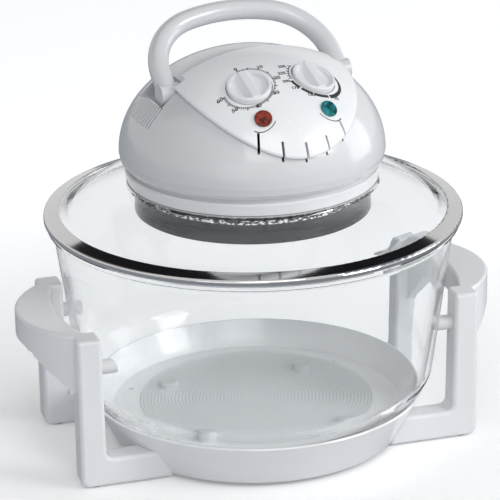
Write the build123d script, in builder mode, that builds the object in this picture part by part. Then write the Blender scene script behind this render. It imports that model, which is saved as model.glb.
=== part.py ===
# Halogen oven: a steel-rimmed glass lid with a heater head, on a glass bowl in a carrying stand.
# Frame: Z up from the worktop, Z axis through bowl and head, control panel towards -Y. Millimetres.
from math import asin, cos, degrees, pi, radians, sin, sqrt
import os

from build123d import *

# ---------------------------------------------------------------- driving dimensions
# fits
GAP = 0.3                # between pieces that move apart
SEAT = 0.05              # sideways, between pieces fastened together
RUN = 0.05               # radial, shafts in their bores

# bowl
GLASS = 5.0
BOWL_NECK_R = 162.6      # outside, just under the lip
BOWL_TAPER = 16.2        # how much the straight wall narrows down to the heel
BOWL_FLARE = 5.4         # how far the lip stands out
BOWL_HEEL_W = 46.4       # width of the rounded heel, between flat bottom and wall
BOWL_HEEL_H = 37.0
BOWL_WALL_H = 120.0      # height of the straight wall
BOWL_LIP_RISE = 6.0
BOWL_LIP_H = 3.2
# outside of the heel: in from the wall, up from the bottom, slope of the glass in degrees
BOWL_HEEL = [(22.4, 5.5, 28.0), (10.4, 17.0, 51.3), (3.4, 27.5, 65.5)]

# tray under the bowl
TRAY_BOTTOM = 4.0
TRAY_FLOOR = 18.0
TRAY_SKIN = 4.0
TRAY_WALL = 2.4
TRAY_INSET = 6.9         # top edge, in from the bottom of the bowl's wall
TRAY_TAPER = 20.5
TRAY_REACH = 18.0        # how far the tray stands up beside the bowl
TRAY_PAD_R = 8.0
TRAY_PAD_H = 5.7
TRAY_PAD_IN = 16.0       # centres of the pads, in from the edge of the flat bottom

# stand
STAND_TURN = -7.0        # degrees the stand is turned against the head that sits on it
FRAME_FRONT = 76.0       # half the depth over the posts
POST_DEPTH = 22.0
POST_THICK = 19.7
POST_INSET = 14.6        # inner face, in from the bowl's neck
POST_DRAFT = 1.5         # how much the inner face leans over its height
POST_R = 3.5             # edges of bars and posts
FRAME_LIFT = 1.0         # frames stay clear of the worktop, on the rubber feet
BAR_TOP = 24.5
BAR_REACH = 23.0         # bars run this far in under the tray's edge
CORNER_R = 7.0
INNER_R = 6.0
GRIP_TOP = 127.0
GRIP_FLAT = 104.0        # underside in the middle of the grip
GRIP_SET = 0.704         # the grip's hand side meets the posts' front corners this far out
GRIP_WIDTH = 32.0
GRIP_ARC = 78.0          # radius of the grip's outer side
ARCH_FOOT = 74.0         # height where the arch under the grip leaves the posts
ARCH_FLAT = 28.0         # half the level stretch under the grip
FOOT_R = 7.5
FOOT_SINK = 2.0
FOOT_IN = 7.0            # centres of the feet, out from the posts' inner faces
TONGUE_W = 14.0
TONGUE_L = 38.0
TONGUE_REACH = 35.0
TONGUE_LOW = 6.0
TONGUE_TOP = 13.7
SCREW_REACH = 28.0
SCREW_R = 2.0
SCREW_HEAD_R = 3.8
SCREW_HEAD_H = 2.0
PAD_R = 6.0
PAD_Z = 100.0
PAD_STUB_R = 2.5
PAD_STUB = 4.0

# lid glass and its steel rim
LID_GLASS = 4.0
LID_INSET = 2.0          # edge of the glass, in from the bowl's lip
LID_RISE = 26.7          # from the top of the glass at its edge to the land
LID_BRIM = 9.0           # nearly flat brim under the rim
BRIM_RISE = 0.6
# top of the dome: in from the brim, up from there
LID_BEND = [(29.0, 18.7), (11.0, 6.6)]
SEAL_H = 0.7             # silicone under the edge of the glass
SEAL_W = 10.1
SEAL_OVER = 0.6          # the seal's foot reaches past the bowl's lip
SEAL_CLEAR = 0.1
HOLE_GAP = 2.5           # between the heater skirt and the hole in the glass
LAND_W = 5.5             # flat land round the hole
STEEL = 0.9
RIM_OVER = 2.0           # the rim stands out past the bowl's lip
RIM_WIDTH = 13.0
RIM_WALL = 4.1           # height of the outer wall
RIM_RISE = 3.6           # how much the flange climbs inwards
RIM_SHOULDER_R = 2.0
RIM_CURL = 2.9           # depth of the curl on the inner edge

# steel rings below the head
SKIRT_R = 95.0
SKIRT_H = 15.2
SKIRT_HEM = 1.6
LIP_W = 10.0
VENT_H_ALL = 17.0
VENT_RISE = 4.6          # middle of the vents over the bottom of their ring
VENT_COUNT = 60
VENT_W = 3.2
VENT_H = 6.0

# base of the head
FLANGE_SEAL = 1.0
BASE_LIP = 3.0           # flange past the hole in the glass, at its foot
BASE_FLARE = 3.0
BASE_H = 10.3
BASE_PLATE = 3.3
BASE_BORE = 58.0
LUG_W = 12.0
LUG = 1.2

# housing
WALL = 2.8
NECK_IN = 3.5            # groove above the base, in from its edge
NECK_H = 4.5
STEP_OUT = 3.8
STEP_H = 8.7
DOME_OUT = 3.7
DOME_RISE = 81.5
BOSS_IN = 4.5
BOSS_R = 7.5
BOSS_H = 18.7
HOUSING_SCREWS = 4
SIDE_SLOTS = 13
SIDE_SLOT_W = 1.5
SIDE_SLOT_L = 19.5
SIDE_SLOT_RISE = 42.0
SIDE_SLOT_STEP = 2.3     # degrees
SIDE_SLOT_SLANT = 8.0
SIDE_SLOT_BACK = 3.0     # degrees the patch sits behind the middle

# gland for the mains lead
INLET_RISE = 7.5
INLET_R = 6.1
INLET_BORE_R = 3.6
INLET_FLANGE_R = 9.0

# control panel shell on the front of the housing
PANEL_SKIN = 5.0
PANEL_LIP = 2.2          # rounding of the lower edge
PANEL_BACK = -9.0
# edge of the panel seen from the side: in from its widest point, up from there
PANEL_EDGE = [(-11.5, 3.0), (1.9, 16.1), (9.5, 23.7), (16.5, 29.7), (24.5, 35.5), (39.5, 44.1),
              (64.5, 54.2), (92.5, 60.9)]
PANEL_EDGE_END = 62.7
PANEL_SLOTS = 5
PANEL_SLOT_PITCH = 10.4  # degrees
PANEL_SLOT_W = 2.0
PANEL_SLOT_H = 16.0
PANEL_SLOT_RISE = 26.3
PANEL_SLOT_FAN = 2.2     # the outer slots climb by this and by its double square
PANEL_SCREW_SPOTS = [(-62.0, -48.0), (62.0, -48.0), (0.0, -78.0)]

# knobs and indicator lamps, the same left and right
KNOB_X = 27.6
KNOB_Y = -58.8
KNOB_TILT = 22.0
KNOB_ROLL = 10.5
KNOB_R = 17.6
KNOB_ROOM = 0.9          # between a knob and the side of its well
KNOB_TOP = 2.2
KNOB_UNDER = -4.0
WELL_DEPTH = 0.6         # below the knob
KNOB_RIM = 2.4
DISH_FLOOR = -1.2
WING_W = 5.6             # finger wing across a knob, at its crest
WING_FOOT = 15.0
WING_TOP = 3.4
SPINDLE_R = 3.0
SPINDLE_TOP = -1.9
SPINDLE_LOW = -16.0
CONTROL_TOP = -11.5
NECK_TOP = -5.0
CONTROL_NECK_R = 4.15
CONTROL_R = 15.0
CONTROL_DEPTH = 20.0
LENS_X = 27.8
LENS_Y = -85.5
LENS_R = 7.0
LENS_H = 1.8
LENS_STEM_R = 5.2
LENS_STEM = 11.0
HOLDER_R = 6.4
HOLDER_L = 8.0

# carrying handle
PIVOT_Y = -6.7
PIVOT_RISE = 56.4
HANDLE_LEAN = 52.0
HANDLE_TUBE = 8.3
HANDLE_LEG_X = 74.0
HANDLE_LEG = 17.2        # straight part of a leg, from the pivot
HANDLE_CORNER_R = 52.0
HANDLE_CROWN_R = 140.0
HANDLE_BOSS_R = 8.6
HANDLE_BOSS_W = 16.6
PIN_R = 3.0
PIN_IN = 19.0            # inner end of a pin, in from the leg
PIN_OUT = 5.0
POCKET_HALF = 10.5
POCKET_AHEAD = 10.1      # pocket in front of the pivot and behind it
POCKET_BEHIND = 37.7
POCKET_DROP = 11.0       # floor of the pocket below the pivot
POCKET_WALL = 2.4
PLUNGER_R = 1.5
PLUNGER_DROP = 27.5
SWITCH_BOX = (14.0, 20.0, 19.0)
SWITCH_DROP = 30.5

# heater
LAMP_RING = 62.0
LAMP_TUBE = 5.5
LAMP_GLASS = 1.0
LAMP_ARC = 316.0
LAMP_DROP = 6.9          # lamp below the reflector
FILAMENT_R = 1.2
CAP_R = 6.6
CAP_L = 12.0
CLIP_W = 5.0
CLIP_ANGLES = (-30.0, 90.0, 210.0)
REFLECTOR_RISE = 0.9
SHIELD_RISE = 10.5
PLATE = 0.8
DISC_GAP = 1.4
INSULATION_H = 3.6
GUARD_WIRE = 1.1
GUARD_SPOKE = 0.9
GUARD_RISE = 1.95
GUARD_RINGS = (71.0, 55.0, 39.0, 23.0, 2.0)
GUARD_SPOKES = 8

# motor and fans
SHAFT_R = 3.0
SHAFT_DROP = 10.4        # lower end of the shaft below the top of the skirt
SHAFT_OVER = 15.0        # upper end over the motor
MOTOR_R = 30.0
MOTOR_RISE = 4.7
MOTOR_H = 24.0
MOTOR_END = 3.0
ROTOR_R = 17.4
ROTOR_ROOM = 18.2
BUSH_R = 6.5
BUSH_H = 5.0
BRACKET_R = 70.0
BRACKET_H = 1.5
FAN_R = 42.0
COOLING_FAN_R = 38.0
FAN_HUB_R = 7.0
FAN_H = 8.0
FAN_SEAT = 1.0
FAN_RISE = 4.0
FAN_BLADES = 7
BLADE = 1.2
NUT_R = 6.0
NUT_H = 3.0
BLOCK_SIZE = (36.0, 12.0, 14.0)
BLOCK_IN = 15.2          # middle of the terminal block, in from the housing's wall

# ---------------------------------------------------------------- sizes that follow
# bowl, and the tray that holds it
BOWL_LOW_R = BOWL_NECK_R - BOWL_TAPER
BOWL_FLAT_R = BOWL_LOW_R - BOWL_HEEL_W
BOWL_LIP_R = BOWL_NECK_R + BOWL_FLARE
BOWL_BOTTOM = TRAY_FLOOR + TRAY_PAD_H + GAP
BOWL_LOW_Z = BOWL_BOTTOM + BOWL_HEEL_H
BOWL_NECK_Z = BOWL_LOW_Z + BOWL_WALL_H
BOWL_LIP_Z = BOWL_NECK_Z + BOWL_LIP_RISE
BOWL_TOP = BOWL_LIP_Z + BOWL_LIP_H
TRAY_TOP = BOWL_BOTTOM + TRAY_REACH
TRAY_TOP_R = BOWL_LOW_R - TRAY_INSET
TRAY_LOW_R = TRAY_TOP_R - TRAY_TAPER
TRAY_PAD_RING = BOWL_FLAT_R - TRAY_PAD_IN

# stand
POST_IN = BOWL_NECK_R - POST_INSET
POST_OUT = POST_IN + POST_THICK
GRIP_IN = sqrt((POST_IN + GRIP_SET) ** 2 + FRAME_FRONT ** 2)
GRIP_OUT = GRIP_IN + GRIP_WIDTH
FOOT_X = POST_IN + FOOT_IN
BAR_IN = TRAY_LOW_R - BAR_REACH
TONGUE_IN = TRAY_LOW_R - TONGUE_REACH
TONGUE_OUT = TONGUE_IN + TONGUE_L
SCREW_X = TRAY_LOW_R - SCREW_REACH

# lid
LID_R = BOWL_LIP_R - LID_INSET
GASKET_BOTTOM = BOWL_TOP + GAP
LID_UNDER_Z = GASKET_BOTTOM + SEAL_H + SEAL_CLEAR
LID_EDGE_Z = LID_UNDER_Z + LID_GLASS
LAND_Z = LID_EDGE_Z + LID_RISE
HOLE_R = SKIRT_R + HOLE_GAP
LAND_R = HOLE_R + LAND_W
RIM_R = BOWL_LIP_R + RIM_OVER
RIM_INNER_R = RIM_R - RIM_WIDTH
RIM_BOTTOM = GASKET_BOTTOM + STEEL
RIM_SHOULDER = RIM_BOTTOM + RIM_WALL
RIM_CROWN = RIM_SHOULDER + RIM_RISE

# head, from the glass upwards
BASE_BOTTOM = LAND_Z + FLANGE_SEAL
BASE_TOP = BASE_BOTTOM + BASE_H
BASE_UNDER = BASE_TOP - BASE_PLATE
BASE_LOW_R = HOLE_R + BASE_LIP
BASE_R = BASE_LOW_R + BASE_FLARE
VENT_TOP = BASE_UNDER
SKIRT_TOP = VENT_TOP - VENT_H_ALL
SKIRT_BOTTOM = SKIRT_TOP - SKIRT_H
VENT_Z = SKIRT_TOP + VENT_RISE
LIP_IN = SKIRT_R - LIP_W
NECK_R = BASE_R - NECK_IN
STEP_Z = BASE_TOP + NECK_H
STEP_R = NECK_R + STEP_OUT
DOME_R = STEP_R + DOME_OUT
DOME_Z = STEP_Z + STEP_H
BOSS_RING = SKIRT_R - BOSS_IN
BOSS_TOP = BASE_TOP + BOSS_H
SIDE_SLOT_Z = DOME_Z + SIDE_SLOT_RISE
INLET_Z = DOME_Z + INLET_RISE
PANEL_R = DOME_R + PANEL_SKIN
PANEL_RISE = DOME_RISE + PANEL_SKIN
PANEL_SLOT_Z = DOME_Z + PANEL_SLOT_RISE
KNOB_WELL_R = KNOB_R + KNOB_ROOM
WELL_FLOOR = KNOB_UNDER - WELL_DEPTH
DISH_R = KNOB_R - KNOB_RIM
PIVOT_Z = DOME_Z + PIVOT_RISE
PIN_START = HANDLE_LEG_X - PIN_IN
PIN_END = HANDLE_LEG_X + PIN_OUT
POCKET_FRONT = PIVOT_Y - POCKET_AHEAD
POCKET_REAR = PIVOT_Y + POCKET_BEHIND
POCKET_FLOOR = PIVOT_Z - POCKET_DROP
PLUNGER_LOW = PIVOT_Z - PLUNGER_DROP
SWITCH_BORE_LOW = PIVOT_Z - SWITCH_DROP

# heater, motor and fans
REFLECTOR_Z = SKIRT_TOP + REFLECTOR_RISE
LAMP_Z = REFLECTOR_Z - LAMP_DROP
SHIELD_Z = SKIRT_TOP + SHIELD_RISE
DISC_R = SKIRT_R - DISC_GAP
GUARD_Z = SKIRT_BOTTOM + GUARD_RISE
MOTOR_BOTTOM = BASE_TOP + MOTOR_RISE
MOTOR_TOP = MOTOR_BOTTOM + MOTOR_H
SHAFT_BOTTOM = SKIRT_TOP - SHAFT_DROP
SHAFT_TOP = MOTOR_TOP + SHAFT_OVER
FAN_LOW = SHAFT_BOTTOM + FAN_SEAT
COOLING_FAN_LOW = MOTOR_TOP + FAN_RISE

# ---------------------------------------------------------------- helpers
turn = radians(STAND_TURN)
SEAM = radians(66)       # direction of the seams of turned shells
CAP_STEP = 15            # degrees of ellipse in each arc of a domed profile
UP = (Align.CENTER, Align.CENTER, Align.MIN)
DOWN = (Align.CENTER, Align.CENTER, Align.MAX)


def profile(*points, plane=Plane.XZ):
    """Flat face with straight sides, for turning about Z or pushing out of the plane."""
    with BuildSketch(plane) as outline:
        with BuildLine():
            Polyline(*points, close=True)
        make_face()
    return outline.sketch


def stand_level(height=0.0):
    """Level plane that follows the stand's own direction."""
    return Plane(origin=(0, 0, height), x_dir=(cos(turn), sin(turn), 0), z_dir=(0, 0, 1))


def stand_upright(depth):
    """Upright plane across the stand, its X to the right and its normal to the front."""
    origin = (-depth * sin(turn), depth * cos(turn), 0)
    return Plane(origin=origin, x_dir=(cos(turn), sin(turn), 0), z_dir=(sin(turn), -cos(turn), 0))


def stand_side(reach):
    """Upright plane along the stand's depth, its X to the back and its normal to the right."""
    origin = (reach * cos(turn), reach * sin(turn), 0)
    return Plane(origin=origin, x_dir=(-sin(turn), cos(turn), 0), z_dir=(cos(turn), sin(turn), 0))


def panel_point(x, y):
    """Point on the outside of the control panel."""
    height = PANEL_RISE * sqrt(1 - (x * x + y * y) / PANEL_R ** 2)
    return (x, y, DOME_Z + height)


def panel_plane(x, y):
    """Plane lying on the control panel, its normal straight out of the shell."""
    point = panel_point(x, y)
    normal = (x / PANEL_R ** 2, y / PANEL_R ** 2, (point[2] - DOME_Z) / PANEL_RISE ** 2)
    return Plane(origin=point, x_dir=(1, 0, 0), z_dir=normal)


def knob_plane(side):
    """Plane of a knob, tipped to the front and outwards."""
    normal = (side * sin(radians(KNOB_ROLL)), -sin(radians(KNOB_TILT)), cos(radians(KNOB_TILT)))
    return Plane(origin=panel_point(side * KNOB_X, KNOB_Y), x_dir=(1, 0, 0), z_dir=normal)


def ellipse_cap(across, rise, low=0.2):
    """Domed profile, a quarter ellipse drawn as a chain of arcs, for turning about Z."""

    def on_ellipse(step):
        angle = radians(step * CAP_STEP)
        return (across * cos(angle), DOME_Z + rise * sin(angle))

    steps = round(90 / CAP_STEP) - 1
    reach, height = on_ellipse(steps)
    drop = DOME_Z + rise - height
    crown = (reach * reach + drop * drop) / (2 * drop)
    opening = degrees(asin(reach / crown))
    with BuildSketch(seam_plane) as cap:
        with BuildLine():
            for step in range(steps):
                ThreePointArc(on_ellipse(step), on_ellipse(step + 0.5), on_ellipse(step + 1))
            CenterArc((0, DOME_Z + rise - crown), crown, 90 - opening, opening)
            Polyline((0, DOME_Z + rise), (0, DOME_Z - low), (across, DOME_Z - low), (across, DOME_Z))
        make_face()
    return cap.sketch


# upright plane through the axis, well away from slots, pockets and screws
seam_plane = Plane(origin=(0, 0, 0), x_dir=(cos(SEAM), sin(SEAM), 0), z_dir=(sin(SEAM), -cos(SEAM), 0))


def spoke_plane(angle, radius, height):
    """Upright plane square to a ring about Z, where the ring passes an angle."""
    a = radians(angle)
    origin = (radius * cos(a), radius * sin(a), height)
    return Plane(origin=origin, x_dir=(cos(a), sin(a), 0), z_dir=(sin(a), -cos(a), 0))


def finish(builder, name):
    """Label a piece and write it."""
    builder.part.label = name
    export_step(builder.part, f"parts/{name}.step")


os.makedirs("parts", exist_ok=True)

# ---------------------------------------------------------------- stand: tray
post_mid = FRAME_FRONT - POST_DEPTH / 2
tray_slope = (TRAY_TOP_R - TRAY_LOW_R) / (TRAY_TOP - TRAY_BOTTOM)
floor_r = TRAY_LOW_R + tray_slope * (TRAY_FLOOR - TRAY_BOTTOM) - TRAY_WALL
under_r = TRAY_LOW_R + tray_slope * (TRAY_FLOOR - TRAY_SKIN - TRAY_BOTTOM) - TRAY_WALL
slot_in = TONGUE_IN - 6
tongue_spots = [(side * SCREW_X, way * post_mid) for side in (-1, 1) for way in (-1, 1)]
tray_pad_spots = [(side * TRAY_PAD_RING * cos(pi / 4), way * TRAY_PAD_RING * sin(pi / 4))
                  for side in (-1, 1) for way in (-1, 1)]

with BuildPart() as tray_base:
    revolve(profile((0, TRAY_FLOOR - TRAY_SKIN), (under_r, TRAY_FLOOR - TRAY_SKIN),
                    (TRAY_LOW_R - TRAY_WALL, TRAY_BOTTOM), (TRAY_LOW_R, TRAY_BOTTOM),
                    (TRAY_TOP_R - tray_slope, TRAY_TOP - 1), (TRAY_TOP_R - 1.2, TRAY_TOP),
                    (TRAY_TOP_R - TRAY_WALL, TRAY_TOP), (floor_r, TRAY_FLOOR), (0, TRAY_FLOOR)))
    with Locations(stand_level(TRAY_BOTTOM - 1)):
        with Locations(*[(side * (slot_in + TRAY_TOP_R) / 2, way * post_mid, 0)
                         for side in (-1, 1) for way in (-1, 1)]):
            Box(TRAY_TOP_R - slot_in, TONGUE_W + 2 * GAP, TONGUE_TOP - TRAY_BOTTOM + 1 + GAP,
                align=UP, mode=Mode.SUBTRACT)
        with Locations(*[(x, y, 0) for x, y in tongue_spots]):
            Cylinder(SCREW_R + SEAT, TRAY_FLOOR, align=UP, mode=Mode.SUBTRACT)
finish(tray_base, "tray_base")

with BuildPart() as tray_pads:
    with Locations(stand_level(TRAY_FLOOR)):
        with Locations(*[(x, y, 0) for x, y in tray_pad_spots]):
            Cylinder(TRAY_PAD_R, TRAY_PAD_H, align=UP)
    fillet(tray_pads.faces().sort_by(Axis.Z)[-4:].edges(), 1.5)
finish(tray_pads, "tray_pads")

# ---------------------------------------------------------------- stand: side frames
wall_slope = BOWL_TAPER / BOWL_WALL_H


def bowl_r(height):
    """Outer radius of the bowl's straight wall."""
    return BOWL_LOW_R + wall_slope * (height - BOWL_LOW_Z)


# the left frame is drawn, the right one is its mirror image
with BuildPart() as left_side_frame:
    for way in (-1, 1):
        with BuildSketch(stand_upright(way * post_mid)) as elevation:
            with BuildLine():
                Polyline((4 - BAR_IN, FRAME_LIFT), (-POST_OUT, FRAME_LIFT), (-POST_OUT, GRIP_TOP),
                         (-POST_IN, GRIP_TOP), (POST_DRAFT - POST_IN, BAR_TOP), (4 - BAR_IN, BAR_TOP),
                         close=True)
            make_face()
            low_corners = elevation.vertices().group_by(Axis.Y)[0]
            fillet(low_corners.sort_by_distance((0, 0, 0))[-1], CORNER_R)
            bar_corners = elevation.vertices().filter_by(lambda v: abs(v.Y - BAR_TOP) < 0.1)
            fillet(bar_corners.sort_by_distance((0, 0, 0))[-1], INNER_R)
        extrude(amount=POST_DEPTH / 2, both=True)
    flanks = left_side_frame.faces().filter_by(lambda f: abs(f.normal_at().Y) > 0.9)
    fillet(flanks.edges(), POST_R)
    with BuildSketch(stand_level(ARCH_FOOT)):
        with Locations((GRIP_ARC - GRIP_OUT, 0)):
            Circle(GRIP_ARC)
        Circle(GRIP_IN, mode=Mode.SUBTRACT)
        with Locations((-POST_IN - 30, 0)):
            Rectangle(60, 2 * FRAME_FRONT - 1, mode=Mode.INTERSECT)
    extrude(amount=GRIP_TOP - ARCH_FOOT)
    window = FRAME_FRONT - POST_DEPTH
    extrude(profile((-window, 0), (window, 0), (window, ARCH_FOOT), (ARCH_FLAT, GRIP_FLAT),
                    (-ARCH_FLAT, GRIP_FLAT), (-window, ARCH_FOOT), plane=stand_side(0)),
            amount=-1.3 * GRIP_OUT, mode=Mode.SUBTRACT)
    slant = GRIP_FLAT - ARCH_FOOT
    extrude(profile((-POST_OUT, ARCH_FOOT - 5), (-POST_OUT, ARCH_FOOT + 4),
                    (-POST_OUT - slant, GRIP_FLAT + 2), (-1.3 * GRIP_OUT, GRIP_FLAT + 2),
                    (-1.3 * GRIP_OUT, ARCH_FOOT - 5), plane=stand_upright(0)),
            amount=2 * FRAME_FRONT, both=True, mode=Mode.SUBTRACT)
    top = left_side_frame.faces().filter_by(lambda f: abs(f.center().Z - GRIP_TOP) < 0.01)
    fillet(top.edges(), 2.5)
    revolve(profile((0, -2), (TRAY_LOW_R - tray_slope * (TRAY_BOTTOM + 2) + SEAT, -2),
                    (TRAY_TOP_R + SEAT, TRAY_TOP), (0, TRAY_TOP)), mode=Mode.SUBTRACT)
    with Locations(stand_level(TONGUE_LOW)):
        with Locations(*[(-(TONGUE_IN + TONGUE_OUT) / 2, way * post_mid, 0) for way in (-1, 1)]):
            Box(TONGUE_L, TONGUE_W, TONGUE_TOP - TONGUE_LOW, align=UP)
        with Locations(*[(-SCREW_X, way * post_mid, -2) for way in (-1, 1)]):
            Cylinder(SCREW_R + SEAT, 20, align=UP, mode=Mode.SUBTRACT)
    with Locations(stand_level(FRAME_LIFT)):
        with Locations(*[(-FOOT_X, way * post_mid, 0) for way in (-1, 1)]):
            Cylinder(FOOT_R + SEAT, FOOT_SINK, align=UP, mode=Mode.SUBTRACT)
    with Locations(stand_side(2 - POST_IN)):
        with Locations(*[(way * post_mid, PAD_Z, 0) for way in (-1, 1)]):
            Cylinder(PAD_STUB_R + SEAT, 2 * (PAD_STUB + 2.2), mode=Mode.SUBTRACT)
finish(left_side_frame, "left_side_frame")

with BuildPart() as right_side_frame:
    mirror(left_side_frame.part, about=stand_side(0))
finish(right_side_frame, "right_side_frame")

corners = [(side, way) for side in (-1, 1) for way in (-1, 1)]

with BuildPart() as rubber_feet:
    with Locations(stand_level(0)):
        with Locations(*[(side * FOOT_X, way * post_mid, 0) for side, way in corners]):
            Cylinder(FOOT_R, FRAME_LIFT + FOOT_SINK, align=UP)
    fillet(rubber_feet.faces().filter_by(lambda f: f.center().Z < 0.01).edges(), 0.6)
finish(rubber_feet, "rubber_feet")

with BuildPart() as frame_screws:
    with Locations(stand_level(TONGUE_LOW)):
        with Locations(*[(x, y, 0) for x, y in tongue_spots]):
            Cylinder(SCREW_HEAD_R, SCREW_HEAD_H, align=DOWN)
            Cylinder(SCREW_R, TRAY_FLOOR - 0.5 - TONGUE_LOW, align=UP)
finish(frame_screws, "frame_screws")

with BuildPart() as bowl_pads:
    face_x = POST_IN - POST_DRAFT * (GRIP_TOP - PAD_Z) / (GRIP_TOP - BAR_TOP) - 0.1
    for side, way in corners:
        with Locations(stand_side(side * face_x)):
            with Locations((way * post_mid, PAD_Z, 0)):
                if side > 0:
                    Cylinder(PAD_R, 20, align=DOWN)
                    Cylinder(PAD_STUB_R, PAD_STUB, align=UP)
                else:
                    Cylinder(PAD_R, 20, align=UP)
                    Cylinder(PAD_STUB_R, PAD_STUB, align=DOWN)
    low, high = PAD_Z - 12, PAD_Z + 12
    revolve(profile((0, low), (bowl_r(low) + GAP, low), (bowl_r(high) + GAP, high), (0, high)),
            mode=Mode.SUBTRACT)
finish(bowl_pads, "bowl_pads")

# ---------------------------------------------------------------- bowl
heel_out = [(BOWL_LOW_R - inset, BOWL_BOTTOM + rise) for inset, rise, _ in BOWL_HEEL]
heel_in = [(x - GLASS * sin(radians(slope)), z + GLASS * cos(radians(slope)))
           for (x, z), (_, _, slope) in zip(heel_out, BOWL_HEEL)]

with BuildPart() as glass_bowl:
    with BuildSketch(Plane.XZ):
        with BuildLine():
            Line((0, BOWL_BOTTOM), (BOWL_FLAT_R, BOWL_BOTTOM))
            Spline((BOWL_FLAT_R, BOWL_BOTTOM), *heel_out, (BOWL_LOW_R, BOWL_LOW_Z),
                   tangents=((1, 0), (wall_slope, 1)))
            Line((BOWL_LOW_R, BOWL_LOW_Z), (BOWL_NECK_R, BOWL_NECK_Z))
            Spline((BOWL_NECK_R, BOWL_NECK_Z),
                   (BOWL_NECK_R + BOWL_FLARE / 3, BOWL_NECK_Z + 0.6 * BOWL_LIP_RISE),
                   (BOWL_LIP_R, BOWL_LIP_Z), tangents=((wall_slope, 1), (1, 0.25)))
            Polyline((BOWL_LIP_R, BOWL_LIP_Z), (BOWL_LIP_R, BOWL_TOP - 0.8),
                     (BOWL_LIP_R - 0.8, BOWL_TOP), (BOWL_NECK_R - GLASS + 1.9, BOWL_TOP),
                     (BOWL_NECK_R - GLASS + 1.0, BOWL_TOP - 1), (BOWL_NECK_R - GLASS, BOWL_NECK_Z),
                     (BOWL_LOW_R - GLASS, BOWL_LOW_Z))
            Spline((BOWL_LOW_R - GLASS, BOWL_LOW_Z), *reversed(heel_in),
                   (BOWL_FLAT_R, BOWL_BOTTOM + GLASS), tangents=((-wall_slope, -1), (-1, 0)))
            Polyline((BOWL_FLAT_R, BOWL_BOTTOM + GLASS), (0, BOWL_BOTTOM + GLASS),
                     (0, BOWL_BOTTOM))
        make_face()
    revolve(axis=Axis.Z)
finish(glass_bowl, "glass_bowl")

# ---------------------------------------------------------------- lid glass, rim and seals
brim_in = LID_R - LID_BRIM
lid_bend = [(brim_in - inset, LID_EDGE_Z + BRIM_RISE + rise) for inset, rise in LID_BEND]

with BuildPart() as glass_lid:
    with BuildSketch(Plane.XZ):
        with BuildLine():
            for sink in (0, LID_GLASS):
                Spline((LAND_R, LAND_Z - sink), *[(x, z - sink) for x, z in lid_bend],
                       (brim_in, LID_EDGE_Z + BRIM_RISE - sink), tangents=((1, -0.12), (1, -0.25)))
                Spline((brim_in, LID_EDGE_Z + BRIM_RISE - sink), (LID_R, LID_EDGE_Z - sink),
                       tangents=((1, -0.25), (1, -0.02)))
            Line((LID_R, LID_EDGE_Z), (LID_R, LID_EDGE_Z - LID_GLASS))
            Polyline((LAND_R, LAND_Z), (HOLE_R, LAND_Z), (HOLE_R, LAND_Z - LID_GLASS),
                     (LAND_R, LAND_Z - LID_GLASS))
        make_face()
    revolve(axis=Axis.Z)
finish(glass_lid, "glass_lid")

flange_slope = RIM_RISE / RIM_WIDTH
flange_under = STEEL * sqrt(1 + flange_slope ** 2)
rim_low_in = RIM_CROWN - flange_slope * STEEL - flange_under
rim_low_out = RIM_SHOULDER + flange_slope * STEEL - flange_under
# corners of the rim's section with their roundings
RIM_CORNERS = [((RIM_R, RIM_SHOULDER), RIM_SHOULDER_R),
               ((RIM_R - STEEL, rim_low_out), RIM_SHOULDER_R - STEEL),
               ((RIM_INNER_R, RIM_CROWN), 1.4), ((RIM_INNER_R + STEEL, rim_low_in), 0.5),
               ((RIM_R, RIM_BOTTOM), 0.4)]

with BuildPart() as lid_rim:
    with BuildSketch(Plane.XZ) as section:
        with BuildLine():
            Polyline((RIM_R - STEEL, RIM_BOTTOM), (RIM_R, RIM_BOTTOM), (RIM_R, RIM_SHOULDER),
                     (RIM_INNER_R, RIM_CROWN), (RIM_INNER_R, RIM_CROWN - RIM_CURL),
                     (RIM_INNER_R + STEEL, RIM_CROWN - RIM_CURL), (RIM_INNER_R + STEEL, rim_low_in),
                     (RIM_R - STEEL, rim_low_out), close=True)
        make_face()
        for (x, z), rounding in RIM_CORNERS:
            fillet(section.vertices().sort_by_distance((x, z, 0))[0], rounding)
    revolve(axis=Axis.Z)
finish(lid_rim, "lid_rim")

seal_in = BOWL_LIP_R + SEAL_OVER - SEAL_W
seal_out = RIM_R - STEEL - SEAL_CLEAR
with BuildPart() as rim_gasket:
    revolve(profile((seal_in, GASKET_BOTTOM), (seal_out - 0.6, GASKET_BOTTOM),
                    (seal_out, GASKET_BOTTOM + 0.8), (seal_out, RIM_SHOULDER - STEEL),
                    (LID_R + SEAL_CLEAR, RIM_SHOULDER - STEEL),
                    (LID_R + SEAL_CLEAR, GASKET_BOTTOM + SEAL_H),
                    (seal_in, GASKET_BOTTOM + SEAL_H)))
finish(rim_gasket, "rim_gasket")

with BuildPart() as flange_gasket:
    revolve(profile((HOLE_R + 0.5, LAND_Z), (LAND_R - 1, LAND_Z), (LAND_R - 1, BASE_BOTTOM),
                    (HOLE_R + 0.5, BASE_BOTTOM)))
finish(flange_gasket, "flange_gasket")

# ---------------------------------------------------------------- base of the head
screw_angles = [45 + 90 * i for i in range(HOUSING_SCREWS)]

with BuildPart() as base_flange:
    revolve(profile((HOLE_R, BASE_BOTTOM), (BASE_LOW_R, BASE_BOTTOM),
                    (BASE_LOW_R + 1.2, BASE_BOTTOM + 0.6), (BASE_R, BASE_TOP - 1.2),
                    (BASE_R - 1.2, BASE_TOP), (BASE_BORE, BASE_TOP), (BASE_BORE, BASE_UNDER),
                    (HOLE_R, BASE_UNDER)))
    with PolarLocations(BOSS_RING, HOUSING_SCREWS, start_angle=45):
        Cylinder(1.65, 2 * BASE_TOP + 2, mode=Mode.SUBTRACT)
finish(base_flange, "base_flange")

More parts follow.
